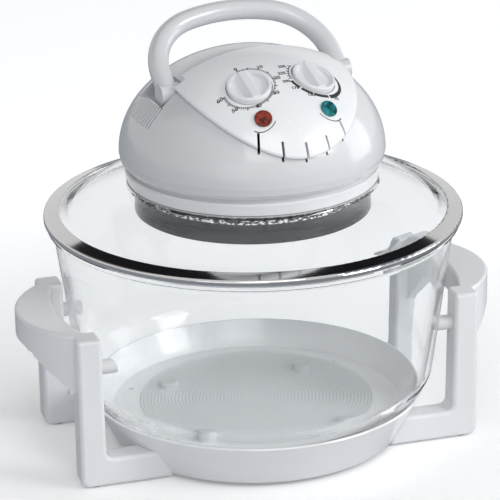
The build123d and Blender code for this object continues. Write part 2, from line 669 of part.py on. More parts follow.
with BuildPart() as clamp_lugs:
    with PolarLocations(0, 3, start_angle=90):
        with Locations((HOLE_R - LUG / 2 - 0.5, 0, LAND_Z - LID_GLASS - LUG)):
            Box(LUG, LUG_W, BASE_BOTTOM - LAND_Z + LID_GLASS + LUG, align=UP)
        with Locations((HOLE_R + 1.5, 0, LAND_Z - LID_GLASS - LUG)):
            Box(6.4, LUG_W, LUG, align=UP)
        with Locations((HOLE_R + 0.35, 0, BASE_BOTTOM)):
            Box(2.9, LUG_W, 0.9, align=DOWN)
    revolve(profile((HOLE_R - 0.1, LAND_Z - LID_GLASS), (LAND_R, LAND_Z - LID_GLASS),
                    (LAND_R, BASE_BOTTOM + 1), (HOLE_R - 0.1, BASE_BOTTOM + 1)),
            mode=Mode.SUBTRACT)
finish(clamp_lugs, "clamp_lugs")

with BuildPart() as heater_skirt:
    revolve(profile((SKIRT_R - SKIRT_HEM, SKIRT_BOTTOM), (SKIRT_R, SKIRT_BOTTOM), (SKIRT_R, SKIRT_TOP),
                    (LIP_IN, SKIRT_TOP), (LIP_IN, SKIRT_TOP - PLATE),
                    (SKIRT_R - PLATE, SKIRT_TOP - PLATE), (SKIRT_R - PLATE, SKIRT_BOTTOM + PLATE),
                    (SKIRT_R - SKIRT_HEM, SKIRT_BOTTOM + PLATE)))
finish(heater_skirt, "heater_skirt")

with BuildPart() as vent_ring:
    revolve(profile((LIP_IN, SKIRT_TOP), (SKIRT_R, SKIRT_TOP), (SKIRT_R, VENT_TOP),
                    (LIP_IN, VENT_TOP), (LIP_IN, VENT_TOP - PLATE),
                    (SKIRT_R - PLATE, VENT_TOP - PLATE), (SKIRT_R - PLATE, SKIRT_TOP + PLATE),
                    (LIP_IN, SKIRT_TOP + PLATE)))
    with PolarLocations(SKIRT_R, VENT_COUNT):
        with Locations((0, 0, VENT_Z)):
            Box(6, VENT_W, VENT_H, mode=Mode.SUBTRACT)
    with PolarLocations(BOSS_RING, HOUSING_SCREWS, start_angle=45):
        with Locations((0, 0, VENT_TOP)):
            Cylinder(1.65, 4, mode=Mode.SUBTRACT)
finish(vent_ring, "vent_ring")

# ---------------------------------------------------------------- housing
leg_spots = [(side * HANDLE_LEG_X, (POCKET_FRONT + POCKET_REAR) / 2) for side in (-1, 1)]
pocket_w = 2 * POCKET_HALF
pocket_l = POCKET_REAR - POCKET_FRONT
inner_r = DOME_R - WALL
inner_rise = DOME_RISE - WALL

with BuildPart() as dome_room:
    revolve(ellipse_cap(inner_r, inner_rise, low=5.0), axis=Axis.Z)
    revolve(profile((0, BASE_UNDER), (NECK_R - WALL, BASE_UNDER), (NECK_R - WALL, STEP_Z + 1),
                    (inner_r, DOME_Z - 4), (0, DOME_Z - 4), plane=seam_plane), axis=Axis.Z)
    with Locations(*[(x, y, POCKET_FLOOR - POCKET_WALL) for x, y in leg_spots]):
        Box(pocket_w + 2 * POCKET_WALL, pocket_l + 2 * POCKET_WALL, 80, align=UP,
            mode=Mode.SUBTRACT)
    with Locations(*[(side * (PIN_START + 6), PIVOT_Y, PIVOT_Z) for side in (-1, 1)]):
        Box(12, 14, 14, mode=Mode.SUBTRACT)
    with PolarLocations(BOSS_RING, HOUSING_SCREWS, start_angle=45):
        with Locations((0, 0, BASE_UNDER - 1)):
            Cylinder(BOSS_R, BOSS_TOP - BASE_UNDER + 1, align=UP, mode=Mode.SUBTRACT)


def side_slots(side):
    """Cuts the slanted vent slots on one side of the housing; for use inside a part."""
    reach = DOME_R * sqrt(1 - ((SIDE_SLOT_Z - DOME_Z) / DOME_RISE) ** 2)
    for step in range(SIDE_SLOTS):
        angle = radians(SIDE_SLOT_STEP * (step - (SIDE_SLOTS - 1) / 2) + SIDE_SLOT_BACK)
        normal = (side * cos(angle) * reach / DOME_R ** 2, sin(angle) * reach / DOME_R ** 2,
                  (SIDE_SLOT_Z - DOME_Z) / DOME_RISE ** 2)
        spot = (side * cos(angle) * reach, sin(angle) * reach, SIDE_SLOT_Z)
        level = (-side * sin(angle), cos(angle), 0)
        with Locations(Plane(origin=spot, x_dir=level, z_dir=normal)):
            with Locations(Rotation(0, 0, side * SIDE_SLOT_SLANT)):
                Box(SIDE_SLOT_W, SIDE_SLOT_L, 7, mode=Mode.SUBTRACT)


def front_slots():
    """Cuts the upright slots at the front; for use inside a part."""
    for step in range(PANEL_SLOTS):
        place = step - (PANEL_SLOTS - 1) / 2
        angle = radians(-90 + PANEL_SLOT_PITCH * place)
        lift = PANEL_SLOT_Z + PANEL_SLOT_FAN * place * place
        with Locations(Plane(origin=(0, 0, lift), x_dir=(cos(angle), sin(angle), 0),
                             z_dir=(0, 0, 1))):
            with Locations((DOME_R - 3.5, 0, 0)):
                Box(30, PANEL_SLOT_W, PANEL_SLOT_H, mode=Mode.SUBTRACT)


def knob_wells():
    """Cuts the round wells of the knobs and the holes of spindles and lamps."""
    for side in (-1, 1):
        with Locations(knob_plane(side)):
            with Locations((0, 0, WELL_FLOOR)):
                Cylinder(KNOB_WELL_R, 14, align=UP, mode=Mode.SUBTRACT)
            Cylinder(CONTROL_NECK_R + SEAT, 40, mode=Mode.SUBTRACT)
        with Locations(panel_plane(side * LENS_X, LENS_Y)):
            Cylinder(LENS_STEM_R + SEAT, 30, mode=Mode.SUBTRACT)


with BuildPart() as rear_housing:
    revolve(profile((0, BASE_TOP), (NECK_R, BASE_TOP), (NECK_R, STEP_Z), (STEP_R, STEP_Z),
                    (DOME_R - 1.2, DOME_Z - 5.5), (DOME_R, DOME_Z), (0, DOME_Z),
                    plane=seam_plane), axis=Axis.Z)
    revolve(ellipse_cap(DOME_R, DOME_RISE), axis=Axis.Z)
    add(dome_room.part, mode=Mode.SUBTRACT)
    with Locations(*[(x, y, POCKET_FLOOR) for x, y in leg_spots]):
        Box(pocket_w, pocket_l, 80, align=UP, mode=Mode.SUBTRACT)
    with Locations(*[(side * (PIN_START + 10), PIVOT_Y, PIVOT_Z) for side in (-1, 1)]):
        Cylinder(PIN_R + SEAT, 20, rotation=(0, 90, 0), mode=Mode.SUBTRACT)
    with Locations((HANDLE_LEG_X, PIVOT_Y, POCKET_FLOOR)):
        Cylinder(PLUNGER_R + RUN, 12, mode=Mode.SUBTRACT)
    with PolarLocations(BOSS_RING, HOUSING_SCREWS, start_angle=45):
        with Locations((0, 0, BASE_TOP - 1)):
            Cylinder(1.5 + SEAT, 14, align=UP, mode=Mode.SUBTRACT)
    for side in (-1, 1):
        side_slots(side)
    front_slots()
    knob_wells()
    for x, y in PANEL_SCREW_SPOTS:
        with Locations(panel_plane(x, y)):
            Cylinder(1.5 + SEAT, 30, mode=Mode.SUBTRACT)
    with Locations((0, DOME_R - 4, INLET_Z)):
        Cylinder(INLET_R + SEAT, 20, rotation=(90, 0, 0), mode=Mode.SUBTRACT)
finish(rear_housing, "rear_housing")

panel_edge = [(inset - PANEL_R, DOME_Z + rise) for inset, rise in PANEL_EDGE]
over_panel = DOME_Z + PANEL_RISE + 12


def on_lower_edge(edge):
    """True for the edges where the outer face of the panel meets its lower edge."""
    spot = edge @ 0.5
    level = (spot.X ** 2 + spot.Y ** 2) / PANEL_R ** 2 + ((spot.Z - DOME_Z) / PANEL_RISE) ** 2
    return abs(level - 1) < 0.01 and abs((edge @ 0).Z - (edge @ 1).Z) > 0.3 and spot.Y < PANEL_BACK - 0.5


with BuildPart() as front_panel:
    revolve(ellipse_cap(PANEL_R, PANEL_RISE), axis=Axis.Z)
    revolve(ellipse_cap(DOME_R + SEAT, DOME_RISE + SEAT, low=2.0), axis=Axis.Z, mode=Mode.SUBTRACT)
    with BuildSketch(Plane.YZ):
        with BuildLine():
            Spline(*panel_edge)
            Polyline(panel_edge[-1], (PANEL_BACK, DOME_Z + PANEL_EDGE_END),
                     (PANEL_BACK, over_panel), (panel_edge[0][0], over_panel), panel_edge[0])
        make_face()
    extrude(amount=PANEL_R + 17, both=True, mode=Mode.INTERSECT)
    fillet(front_panel.edges().filter_by(on_lower_edge), PANEL_LIP)
    with Locations(*[(x, y, POCKET_FLOOR) for x, y in leg_spots]):
        Box(pocket_w, pocket_l, 80, align=UP, mode=Mode.SUBTRACT)
    front_slots()
    knob_wells()
    for x, y in PANEL_SCREW_SPOTS:
        with Locations(panel_plane(x, y)):
            with Locations((0, 0, -1.8)):
                Cylinder(1.5 + SEAT, 12, align=DOWN, mode=Mode.SUBTRACT)
finish(front_panel, "front_panel")

with BuildPart() as panel_screws:
    for x, y in PANEL_SCREW_SPOTS:
        with Locations(panel_plane(x, y)):
            with Locations((0, 0, -2.2)):
                Cylinder(1.5, 6.6, align=DOWN)
            with Locations((0, 0, -8.4)):
                Cylinder(2.8, 1.6, align=DOWN)
finish(panel_screws, "panel_screws")

with BuildPart() as housing_screws:
    with PolarLocations(BOSS_RING, HOUSING_SCREWS, start_angle=45):
        with Locations((0, 0, VENT_TOP - PLATE)):
            Cylinder(2.8, 1.8, align=DOWN)
            Cylinder(1.5, 16, align=UP)
finish(housing_screws, "housing_screws")

with BuildPart() as mains_inlet:
    with Locations((0, DOME_R, INLET_Z)):
        Cylinder(INLET_FLANGE_R, 9, rotation=(90, 0, 0))
    fillet(mains_inlet.faces().sort_by(Axis.Y)[-1].edges(), 1.2)
    revolve(ellipse_cap(DOME_R + SEAT, DOME_RISE + SEAT, low=20.0), axis=Axis.Z,
            mode=Mode.SUBTRACT)
    with Locations((0, DOME_R - 4, INLET_Z)):
        Cylinder(INLET_R, 15, rotation=(90, 0, 0))
        Cylinder(INLET_BORE_R, 60, rotation=(90, 0, 0), mode=Mode.SUBTRACT)
finish(mains_inlet, "mains_inlet")

# ---------------------------------------------------------------- controls
with BuildPart() as timer_body:
    with Locations(knob_plane(-1)):
        with Locations((0, 0, CONTROL_TOP)):
            Cylinder(CONTROL_R, CONTROL_DEPTH, align=DOWN)
            Cylinder(CONTROL_NECK_R, NECK_TOP - CONTROL_TOP, align=UP)
        with Locations((0, 0, CONTROL_TOP - CONTROL_DEPTH)):
            Box(20, 14, 6, align=DOWN)
        with Locations((0, 0, SPINDLE_LOW - GAP)):
            Cylinder(SPINDLE_R + RUN, 30, align=UP, mode=Mode.SUBTRACT)
finish(timer_body, "timer_body")

with BuildPart() as thermostat_body:
    with Locations(knob_plane(1)):
        with Locations((0, 0, CONTROL_TOP)):
            Box(30, 24, CONTROL_DEPTH, align=DOWN)
            Cylinder(CONTROL_NECK_R, NECK_TOP - CONTROL_TOP, align=UP)
        with Locations((0, 0, CONTROL_TOP - CONTROL_DEPTH)):
            Cylinder(9, 4, align=DOWN)
        with Locations((0, 0, SPINDLE_LOW - GAP)):
            Cylinder(SPINDLE_R + RUN, 30, align=UP, mode=Mode.SUBTRACT)
finish(thermostat_body, "thermostat_body")


def control_spindle(side, name):
    """Spindle of a control, flatted where the knob sits."""
    with BuildPart() as spindle:
        with Locations(knob_plane(side)):
            with Locations((0, 0, SPINDLE_LOW)):
                Cylinder(SPINDLE_R, SPINDLE_TOP - SPINDLE_LOW, align=UP)
            with Locations((0, SPINDLE_R, SPINDLE_TOP)):
                Box(10, 1.6, SPINDLE_TOP - KNOB_UNDER, align=DOWN, mode=Mode.SUBTRACT)
    finish(spindle, name)


def control_knob(side, name):
    """Round knob, dished on top, with a finger wing from back to front across the dish."""
    face = knob_plane(side)
    with BuildPart() as knob:
        with Locations(face):
            with Locations((0, 0, KNOB_UNDER)):
                Cylinder(KNOB_R, KNOB_TOP - KNOB_UNDER, align=UP)
        rim = knob.faces().sort_by(Axis.Z)[-1].edges()
        fillet(rim, 1.1)
        with Locations(face):
            with Locations((0, 0, DISH_FLOOR)):
                Cylinder(DISH_R, 12, align=UP, mode=Mode.SUBTRACT)
        with BuildSketch(Plane(origin=face.origin, x_dir=face.x_dir, z_dir=-face.y_dir)):
            with BuildLine():
                Polyline((-WING_FOOT / 2, DISH_FLOOR - 0.5), (WING_FOOT / 2, DISH_FLOOR - 0.5),
                         (WING_W / 2, WING_TOP), (-WING_W / 2, WING_TOP), close=True)
            make_face()
        extrude(amount=DISH_R + 0.2, both=True)
        crest = knob.faces().sort_by(Axis(face.origin, face.z_dir))[-1].edges()
        fillet(crest.sort_by(SortBy.LENGTH)[-2:], 0.9)
        with Locations(knob_plane(side)):
            with Locations((0, 0, SPINDLE_TOP)):
                Cylinder(SPINDLE_R + 0.02, 12, align=DOWN, mode=Mode.SUBTRACT)
            with Locations((0, SPINDLE_R + 0.03, SPINDLE_TOP)):
                Box(3, 1.6, SPINDLE_TOP - KNOB_UNDER, align=DOWN)
    finish(knob, name)


for side, control in ((-1, "timer"), (1, "thermostat")):
    control_spindle(side, control + "_spindle")
    control_knob(side, control + "_knob")


def lamp_lens(side, name):
    """Round indicator lens with a stem through the panel."""
    with BuildPart() as lens:
        with Locations(panel_plane(side * LENS_X, LENS_Y)):
            with Locations((0, 0, SEAT)):
                Cylinder(LENS_R, LENS_H, align=UP)
                Cylinder(LENS_STEM_R, LENS_STEM, align=DOWN)
        fillet(lens.faces().sort_by(Axis.Z)[-1].edges(), 0.8)
    finish(lens, name)


lamp_lens(-1, "red_lamp_lens")
lamp_lens(1, "green_lamp_lens")

with BuildPart() as lamp_holders:
    for side in (-1, 1):
        with Locations(panel_plane(side * LENS_X, LENS_Y)):
            with Locations((0, 0, SEAT - LENS_STEM)):
                Cylinder(HOLDER_R, HOLDER_L, align=DOWN)
finish(lamp_holders, "lamp_holders")

# ---------------------------------------------------------------- carrying handle
lean = radians(HANDLE_LEAN)
handle_plane = Plane(origin=(0, PIVOT_Y, PIVOT_Z), x_dir=(1, 0, 0),
                     z_dir=(0, -cos(lean), sin(lean)))
corner_x = HANDLE_LEG_X - HANDLE_CORNER_R
crown_angle = asin(corner_x / (HANDLE_CROWN_R - HANDLE_CORNER_R))
middle = (pi / 2 - crown_angle) / 2
bend = (corner_x + HANDLE_CORNER_R * cos(middle), HANDLE_LEG + HANDLE_CORNER_R * sin(middle))
joint = (corner_x + HANDLE_CORNER_R * sin(crown_angle),
         HANDLE_LEG + HANDLE_CORNER_R * cos(crown_angle))
crown = (0, joint[1] + HANDLE_CROWN_R * (1 - cos(crown_angle)))

with BuildPart() as carry_handle:
    with BuildLine(handle_plane) as path:
        Line((-HANDLE_LEG_X, 0), (-HANDLE_LEG_X, HANDLE_LEG))
        ThreePointArc((-HANDLE_LEG_X, HANDLE_LEG), (-bend[0], bend[1]), (-joint[0], joint[1]))
        ThreePointArc((-joint[0], joint[1]), crown, joint)
        ThreePointArc(joint, bend, (HANDLE_LEG_X, HANDLE_LEG))
        Line((HANDLE_LEG_X, HANDLE_LEG), (HANDLE_LEG_X, 0))
    with BuildSketch(path.line ^ 0):
        Circle(HANDLE_TUBE)
    sweep()
    for side in (-1, 1):
        with Locations((side * HANDLE_LEG_X, PIVOT_Y, PIVOT_Z)):
            Cylinder(HANDLE_BOSS_R, HANDLE_BOSS_W, rotation=(0, 90, 0))
        with Locations((side * (PIN_END + GAP - 15), PIVOT_Y, PIVOT_Z)):
            Cylinder(PIN_R + RUN, 30, rotation=(0, 90, 0), mode=Mode.SUBTRACT)
finish(carry_handle, "carry_handle")

with BuildPart() as handle_pins:
    with Locations(*[(side * (PIN_START + PIN_END) / 2, PIVOT_Y, PIVOT_Z) for side in (-1, 1)]):
        Cylinder(PIN_R, PIN_END - PIN_START, rotation=(0, 90, 0))
finish(handle_pins, "handle_pins")

switch_top = POCKET_FLOOR - POCKET_WALL
with BuildPart() as safety_switch:
    with Locations((HANDLE_LEG_X, PIVOT_Y, switch_top)):
        Box(*SWITCH_BOX, align=DOWN)
    with Locations((HANDLE_LEG_X, PIVOT_Y, SWITCH_BORE_LOW)):
        Cylinder(PLUNGER_R + RUN, 40, align=UP, mode=Mode.SUBTRACT)
finish(safety_switch, "safety_switch")

with BuildPart() as switch_plunger:
    with Locations((HANDLE_LEG_X, PIVOT_Y, PLUNGER_LOW)):
        Cylinder(PLUNGER_R, PIVOT_Z - HANDLE_BOSS_R - GAP - PLUNGER_LOW, align=UP)
finish(switch_plunger, "switch_plunger")

# ---------------------------------------------------------------- heater
with BuildPart() as heat_shield:
    with Locations((0, 0, SHIELD_Z)):
        Cylinder(DISC_R, PLATE, align=UP)
        Cylinder(SHAFT_R + 2.5, 3, align=UP, mode=Mode.SUBTRACT)
finish(heat_shield, "heat_shield")

with BuildPart() as insulation_disc:
    with Locations((0, 0, SHIELD_Z + PLATE)):
        Cylinder(LIP_IN - 0.5, INSULATION_H, align=UP)
        Cylinder(SHAFT_R + 6, INSULATION_H, align=UP, mode=Mode.SUBTRACT)
finish(insulation_disc, "insulation_disc")

with BuildPart() as reflector:
    with Locations((0, 0, REFLECTOR_Z)):
        Cylinder(DISC_R, PLATE, align=UP)
        Cylinder(SHAFT_R + 2.5, 3, align=UP, mode=Mode.SUBTRACT)
finish(reflector, "reflector")

lamp_start = -90 + (360 - LAMP_ARC) / 2


def lamp_arc(radius, mode=Mode.ADD):
    """Round bar bent to an open ring at the lamp's height; for use inside a part."""
    with BuildSketch(spoke_plane(lamp_start, LAMP_RING, LAMP_Z)) as section:
        Circle(radius)
    revolve(section.sketch, axis=Axis.Z, revolution_arc=LAMP_ARC, mode=mode)


with BuildPart() as halogen_lamp:
    lamp_arc(LAMP_TUBE)
    lamp_arc(LAMP_TUBE - LAMP_GLASS, mode=Mode.SUBTRACT)
finish(halogen_lamp, "halogen_lamp")

with BuildPart() as lamp_filament:
    lamp_arc(FILAMENT_R)
finish(lamp_filament, "lamp_filament")

with BuildPart() as lamp_end_caps:
    for angle, way in ((lamp_start, 1), (lamp_start + LAMP_ARC, -1)):
        cap = spoke_plane(angle, LAMP_RING, LAMP_Z)
        with Locations(cap):
            Cylinder(CAP_R, CAP_L, align=UP if way > 0 else DOWN)
        with Locations(spoke_plane(angle, LAMP_RING, REFLECTOR_Z)):
            with Locations((0, 0, way * CAP_L / 2)):
                Box(6, 3.4, CAP_L - 4, align=(Align.CENTER, Align.MAX, Align.CENTER))
finish(lamp_end_caps, "lamp_end_caps")

with BuildPart() as lamp_clips:
    for angle in CLIP_ANGLES:
        with BuildSketch(spoke_plane(angle, LAMP_RING, LAMP_Z)):
            Circle(LAMP_TUBE + SEAT + 1)
            with Locations((0, LAMP_TUBE)):
                Rectangle(5, REFLECTOR_Z - LAMP_Z - LAMP_TUBE, align=(Align.CENTER, Align.MIN))
            with Locations((0, (REFLECTOR_Z - LAMP_Z) - 0.5)):
                Rectangle(12, 1)
            Circle(LAMP_TUBE + SEAT, mode=Mode.SUBTRACT)
            with Locations((0, -LAMP_TUBE - 2)):
                Rectangle(8, 6, mode=Mode.SUBTRACT)
        extrude(amount=CLIP_W / 2, both=True)
finish(lamp_clips, "lamp_clips")

with BuildPart() as fan_guard:
    for ring in GUARD_RINGS:
        with BuildSketch(Plane.XZ):
            with Locations((SKIRT_R - ring, GUARD_Z)):
                Circle(GUARD_WIRE)
        revolve(axis=Axis.Z)
    reach = GUARD_RINGS[0] - GUARD_RINGS[-1]
    with PolarLocations(0, GUARD_SPOKES):
        with Locations((SKIRT_R - GUARD_RINGS[-1] - reach / 2, 0, GUARD_Z + 0.3)):
            Cylinder(GUARD_SPOKE, reach, rotation=(0, 90, 0))
finish(fan_guard, "fan_guard")

with BuildPart() as thermostat_sensor:
    with Locations((LAMP_RING + 16, 0, LAMP_Z)):
        Cylinder(2, 44, rotation=(90, 0, 0))
    with Locations(*[(LAMP_RING + 16, way * 12, LAMP_Z) for way in (-1, 1)]):
        Box(2, 3, REFLECTOR_Z - LAMP_Z, align=UP)
finish(thermostat_sensor, "thermostat_sensor")

# ---------------------------------------------------------------- motor and fans
with BuildPart() as motor_bracket:
    with Locations((0, 0, BASE_TOP)):
        Cylinder(BRACKET_R, BRACKET_H, align=UP)
        Cylinder(SHAFT_R + 9, 2, align=UP, mode=Mode.SUBTRACT)
        with PolarLocations(42, 6):
            Cylinder(9, 2, align=UP, mode=Mode.SUBTRACT)
        with PolarLocations(MOTOR_R - 6, 3, start_angle=30):
            Cylinder(4, MOTOR_BOTTOM - BASE_TOP, align=UP)
finish(motor_bracket, "motor_bracket")

with BuildPart() as motor_body:
    with Locations((0, 0, MOTOR_BOTTOM)):
        Cylinder(MOTOR_R, MOTOR_TOP - MOTOR_BOTTOM, align=UP)
        Cylinder(BUSH_R + SEAT, MOTOR_TOP - MOTOR_BOTTOM, align=UP, mode=Mode.SUBTRACT)
    with Locations((0, 0, MOTOR_BOTTOM + MOTOR_END + 3)):
        Cylinder(ROTOR_ROOM, MOTOR_TOP - MOTOR_BOTTOM - 2 * MOTOR_END - 6, align=UP,
                 mode=Mode.SUBTRACT)
finish(motor_body, "motor_body")

with BuildPart() as motor_bushes:
    for low in (MOTOR_BOTTOM, MOTOR_TOP - BUSH_H):
        with Locations((0, 0, low)):
            Cylinder(BUSH_R, BUSH_H, align=UP)
            Cylinder(SHAFT_R + RUN, BUSH_H, align=UP, mode=Mode.SUBTRACT)
finish(motor_bushes, "motor_bushes")

with BuildPart() as motor_shaft:
    with Locations((0, 0, SHAFT_BOTTOM)):
        Cylinder(SHAFT_R, SHAFT_TOP - SHAFT_BOTTOM, align=UP)
finish(motor_shaft, "motor_shaft")

with BuildPart() as motor_rotor:
    with Locations((0, 0, MOTOR_BOTTOM + MOTOR_END + 3.5)):
        Cylinder(ROTOR_R, MOTOR_TOP - MOTOR_BOTTOM - 2 * MOTOR_END - 7, align=UP)
        Cylinder(SHAFT_R + 0.02, 30, align=UP, mode=Mode.SUBTRACT)
finish(motor_rotor, "motor_rotor")


def blade_fan(name, low, radius):
    """Flat fan with upright blades on a disc, pushed onto the motor's shaft."""
    with BuildPart() as fan:
        with Locations((0, 0, low)):
            Cylinder(FAN_HUB_R, FAN_H, align=UP)
            Cylinder(radius, BLADE, align=UP)
            with PolarLocations(0, FAN_BLADES):
                with Locations(((FAN_HUB_R + radius) / 2, 0, 0)):
                    Box(radius - FAN_HUB_R + 1, BLADE, FAN_H, align=UP)
            Cylinder(SHAFT_R + 0.02, FAN_H, align=UP, mode=Mode.SUBTRACT)
        with PolarLocations((FAN_HUB_R + radius) / 2, FAN_BLADES, start_angle=180 / FAN_BLADES):
            with Locations((0, 0, low)):
                Cylinder(6, BLADE, align=UP, mode=Mode.SUBTRACT)
    finish(fan, name)


blade_fan("convection_fan", FAN_LOW, FAN_R)
blade_fan("cooling_fan", COOLING_FAN_LOW, COOLING_FAN_R)

with BuildPart() as fan_nut:
    with BuildSketch(Plane.XY.offset(COOLING_FAN_LOW + FAN_H)):
        RegularPolygon(NUT_R, 6)
        Circle(SHAFT_R + 0.02, mode=Mode.SUBTRACT)
    extrude(amount=NUT_H)
finish(fan_nut, "fan_nut")

with BuildPart() as thermal_cutout:
    with Locations((0, 46, BASE_TOP + BRACKET_H)):
        Cylinder(8, 9, align=UP)
        Box(24, 6, 1, align=UP)
finish(thermal_cutout, "thermal_cutout")

with BuildPart() as terminal_block:
    with Locations((0, NECK_R - WALL - BLOCK_IN, BASE_TOP)):
        Box(*BLOCK_SIZE, align=UP)
        with Locations(*[(x, 0, 14) for x in (-12, 0, 12)]):
            Cylinder(2.6, 5, align=DOWN, mode=Mode.SUBTRACT)
finish(terminal_block, "terminal_block")
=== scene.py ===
from math import cos, pi, radians, sin, sqrt

import bmesh
import bpy
from mathutils import Matrix, Vector


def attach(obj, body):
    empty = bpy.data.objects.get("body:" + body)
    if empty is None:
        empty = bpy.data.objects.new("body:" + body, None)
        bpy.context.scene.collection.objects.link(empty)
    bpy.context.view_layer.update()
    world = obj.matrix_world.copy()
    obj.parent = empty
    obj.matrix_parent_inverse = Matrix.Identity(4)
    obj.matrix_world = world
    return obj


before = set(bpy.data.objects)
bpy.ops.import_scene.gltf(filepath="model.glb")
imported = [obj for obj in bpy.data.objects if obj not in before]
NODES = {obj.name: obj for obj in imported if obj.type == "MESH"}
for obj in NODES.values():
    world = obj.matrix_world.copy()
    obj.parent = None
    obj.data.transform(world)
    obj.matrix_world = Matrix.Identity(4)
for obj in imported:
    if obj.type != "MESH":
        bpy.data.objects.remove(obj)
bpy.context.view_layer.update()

# ---------------------------------------------------------------- sizes shared with the solids
DOME_Z = 0.2465          # middle of the flattened ball that the panel is part of
PANEL_R = 0.1125         # its radius seen from above
PANEL_RISE = 0.0865      # its height over the middle
KNOB_X = 0.0276
KNOB_Y = -0.0588
LENS_X = 0.0278
LENS_Y = -0.0855
BOWL_FLOOR_Z = 0.029     # inside of the bowl's floor

# ---------------------------------------------------------------- camera
RENDER_W = 500           # side of the square render, in pixels
FOCAL = 2821.3           # in the same pixels
CAMERA_TURN = -0.4119    # radians, as the next two
CAMERA_LIFT = 0.3586
CAMERA_ROLL = -0.0155
CAMERA_FAR = 2.3033
AIM_SIDE = -0.003
AIM_HEIGHT = 0.1575
FILM_W = 36              # millimetres


def make_camera():
    """Camera in front, a little to the left and above, far back with a long lens."""
    back = Vector((sin(CAMERA_TURN) * cos(CAMERA_LIFT), -cos(CAMERA_TURN) * cos(CAMERA_LIFT),
                   sin(CAMERA_LIFT)))
    level = Vector((cos(CAMERA_TURN), sin(CAMERA_TURN), 0))
    upright = back.cross(level)
    right = cos(CAMERA_ROLL) * level + sin(CAMERA_ROLL) * upright
    up = -sin(CAMERA_ROLL) * level + cos(CAMERA_ROLL) * upright
    data = bpy.data.cameras.new("camera")
    data.sensor_width = FILM_W
    data.lens = FILM_W * FOCAL / RENDER_W
    data.clip_start = 0.05
    data.clip_end = 50
    camera = bpy.data.objects.new("camera", data)
    bpy.context.scene.collection.objects.link(camera)
    camera.rotation_mode = "QUATERNION"
    camera.rotation_quaternion = Matrix((right, up, back)).transposed().to_quaternion()
    camera.location = level * AIM_SIDE + Vector((0, 0, AIM_HEIGHT)) + back * CAMERA_FAR
    bpy.context.scene.camera = camera


make_camera()

# ---------------------------------------------------------------- small steps of a material


def feed(tree, term, socket):
    """Links an output to a socket, or sets the socket to a number."""
    if isinstance(term, bpy.types.NodeSocket):
        tree.links.new(term, socket)
    else:
        socket.default_value = term


def reckon(tree, operation, *terms):
    """One sum, product or comparison."""
    node = tree.nodes.new("ShaderNodeMath")
    node.operation = operation
    for term, socket in zip(terms, node.inputs):
        feed(tree, term, socket)
    return node.outputs[0]


def spread(tree, value, low, high, start=0.0, end=1.0):
    """Maps start..end to low..high and holds the value there outside them."""
    node = tree.nodes.new("ShaderNodeMapRange")
    feed(tree, value, node.inputs["Value"])
    feed(tree, start, node.inputs["From Min"])
    feed(tree, end, node.inputs["From Max"])
    feed(tree, low, node.inputs["To Min"])
    feed(tree, high, node.inputs["To Max"])
    return node.outputs[0]


def clouds(tree, where, scale, detail):
    """Soft noise over a place."""
    node = tree.nodes.new("ShaderNodeTexNoise")
    tree.links.new(where, node.inputs["Vector"])
    feed(tree, scale, node.inputs["Scale"])
    feed(tree, detail, node.inputs["Detail"])
    return node.outputs["Fac"]


def relief(tree, height, strength, depth, under=None):
    """Bump made from a height, on top of another normal if one is given."""
    node = tree.nodes.new("ShaderNodeBump")
    feed(tree, strength, node.inputs["Strength"])
    feed(tree, depth, node.inputs["Distance"])
    tree.links.new(height, node.inputs["Height"])
    if under is not None:
        tree.links.new(under, node.inputs["Normal"])
    return node.outputs["Normal"]


def place_of(tree):
    """Place of a point on its piece."""
    return tree.nodes.new("ShaderNodeTexCoord").outputs["Object"]


def length_of(tree, vector):
    """Length of a vector."""
    node = tree.nodes.new("ShaderNodeVectorMath")
    node.operation = "LENGTH"
    tree.links.new(vector, node.inputs[0])
    return node.outputs["Value"]


def round_axis(tree, where):
    """Distance of a place from the upright axis, and its height."""
    split = tree.nodes.new("ShaderNodeSeparateXYZ")
    tree.links.new(where, split.inputs[0])
    flat = tree.nodes.new("ShaderNodeCombineXYZ")
    tree.links.new(split.outputs["X"], flat.inputs["X"])
    tree.links.new(split.outputs["Y"], flat.inputs["Y"])
    return length_of(tree, flat.outputs[0]), split.outputs["Z"]


def new_material(name):
    """Material with its tree and its main shader."""
    material = bpy.data.materials.new(name)
    material.use_nodes = True
    tree = material.node_tree
    return material, tree, tree.nodes["Principled BSDF"]


# ---------------------------------------------------------------- studio
SKY_TINT = (0.93, 0.96, 1.0)
SKY_LIGHT = 0.38
FLOOR_R = 6.0
SHADOW_R = 0.18          # the floor's own glow grows from here; the lower glow inside it is a painted shadow round the oven
CLEAR_R = 0.60           # to here, where it is white
GLOW_IN_PAINTED_SHADOW = 0.20
GLOW_FAR = 0.50
GLOW_IN_GLASS = 0.36
FLOOR_IN_METAL = (0.30, 0.32, 0.35)
CARD_W = 2.3
CARD_H = 1.5
CARD_FAR = 3.0
CARD_LIFT = 51.0         # degrees over the floor
OVEN_MIDDLE = (0, 0, 0.15)

bpy.context.scene.view_settings.view_transform = "Standard"


